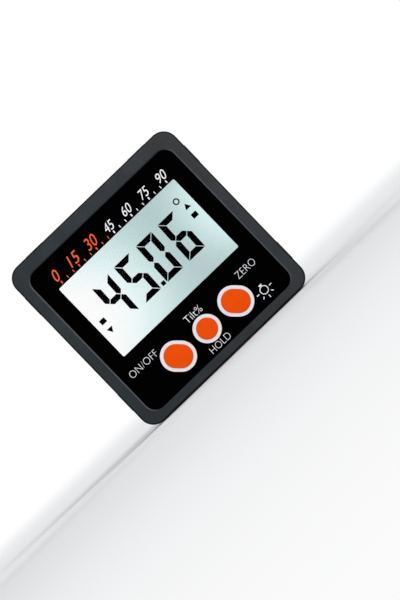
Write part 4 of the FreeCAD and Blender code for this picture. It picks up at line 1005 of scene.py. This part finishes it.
def stroke(start, end, width):
    """The four corners of a straight mark of a given width."""
    along = Vector(end) - Vector(start)
    aside = Vector((-along.y, along.x)).normalized() * width / 2
    return [Vector(start) - aside, Vector(end) - aside, Vector(end) + aside, Vector(start) + aside]


key_x, key_z = middle_of_key("zero_button")
bulb_x = key_x + BULB_FROM_KEY[0]
bulb_z = key_z + BULB_FROM_KEY[1]
bulb = (bulb_x, bulb_z)
turns = [360 * step / BULB_STEPS for step in range(BULB_STEPS + 1)]
lamp_shapes = [[on_circle(BULB_INNER, a, bulb), on_circle(BULB_OUTER, a, bulb),
                on_circle(BULB_OUTER, b, bulb), on_circle(BULB_INNER, b, bulb)]
               for a, b in zip(turns, turns[1:], strict=False)]
lamp_shapes.append([(bulb_x - CAP_FOOT_HALF, bulb_z + CAP_FOOT), (bulb_x + CAP_FOOT_HALF, bulb_z + CAP_FOOT),
                    (bulb_x + CAP_TOP_HALF, bulb_z + CAP_TOP), (bulb_x - CAP_TOP_HALF, bulb_z + CAP_TOP)])
for turn, near_end, far_end in RAYS:
    lamp_shapes.append(stroke(on_circle(near_end, turn, bulb), on_circle(far_end, turn, bulb), RAY_WIDTH))
lay_shapes("legend_lamp", lamp_shapes, white_ink)

# %% [markdown]
# Above the window runs a plain scale of degrees. The low angles are orange and larger, the rest white. Each
# fifteenth degree has a number, and its tick is a little wider than those of the fives between.

# %% Scale over the window
SCALE_WIDTH = 38.0
LAST_DEGREE = 90
DEGREE_STEP = 5
NUMBER_STEP = 15
LAST_ORANGE = 40
WINDOW_FLANGE = 1.4
ABOVE_WINDOW = 0.45
SCALE_FOOT = window_high.z / MM - WINDOW_FLANGE + ABOVE_WINDOW
TICK_HEIGHT = 0.75
TICK_WIDTH = 0.22
NUMBERED_TICK_WIDTH = 0.36
ABOVE_TICKS = 0.35
NUMBER_FOOT = SCALE_FOOT + TICK_HEIGHT + ABOVE_TICKS
SLANT = 0.3
SCALES = {
    # name: ink, number height, number width for each figure
    "scale_low": (orange_ink, 3.2, 1.85),
    "scale_high": (white_ink, 2.6, 1.5),
}
for name, (ink, tall, wide) in SCALES.items():
    ticks = []
    for degree in range(0, LAST_DEGREE + 1, DEGREE_STEP):
        if (degree <= LAST_ORANGE) != (name == "scale_low"):
            continue
        across = (degree / LAST_DEGREE - 0.5) * SCALE_WIDTH
        numbered = degree % NUMBER_STEP == 0
        tick_width = NUMBERED_TICK_WIDTH if numbered else TICK_WIDTH
        ticks.append(stroke((across, SCALE_FOOT), (across, SCALE_FOOT + TICK_HEIGHT), tick_width))
        if numbered:
            figures = str(degree)
            place = (across, NUMBER_FOOT + tall / 2)
            lay_words(f"{name}_{degree}", figures, place, wide * len(figures), tall, ink, slant=SLANT)
    lay_shapes(name + "_ticks", ticks, ink)
print("scale over", SCALE_WIDTH, "mm")
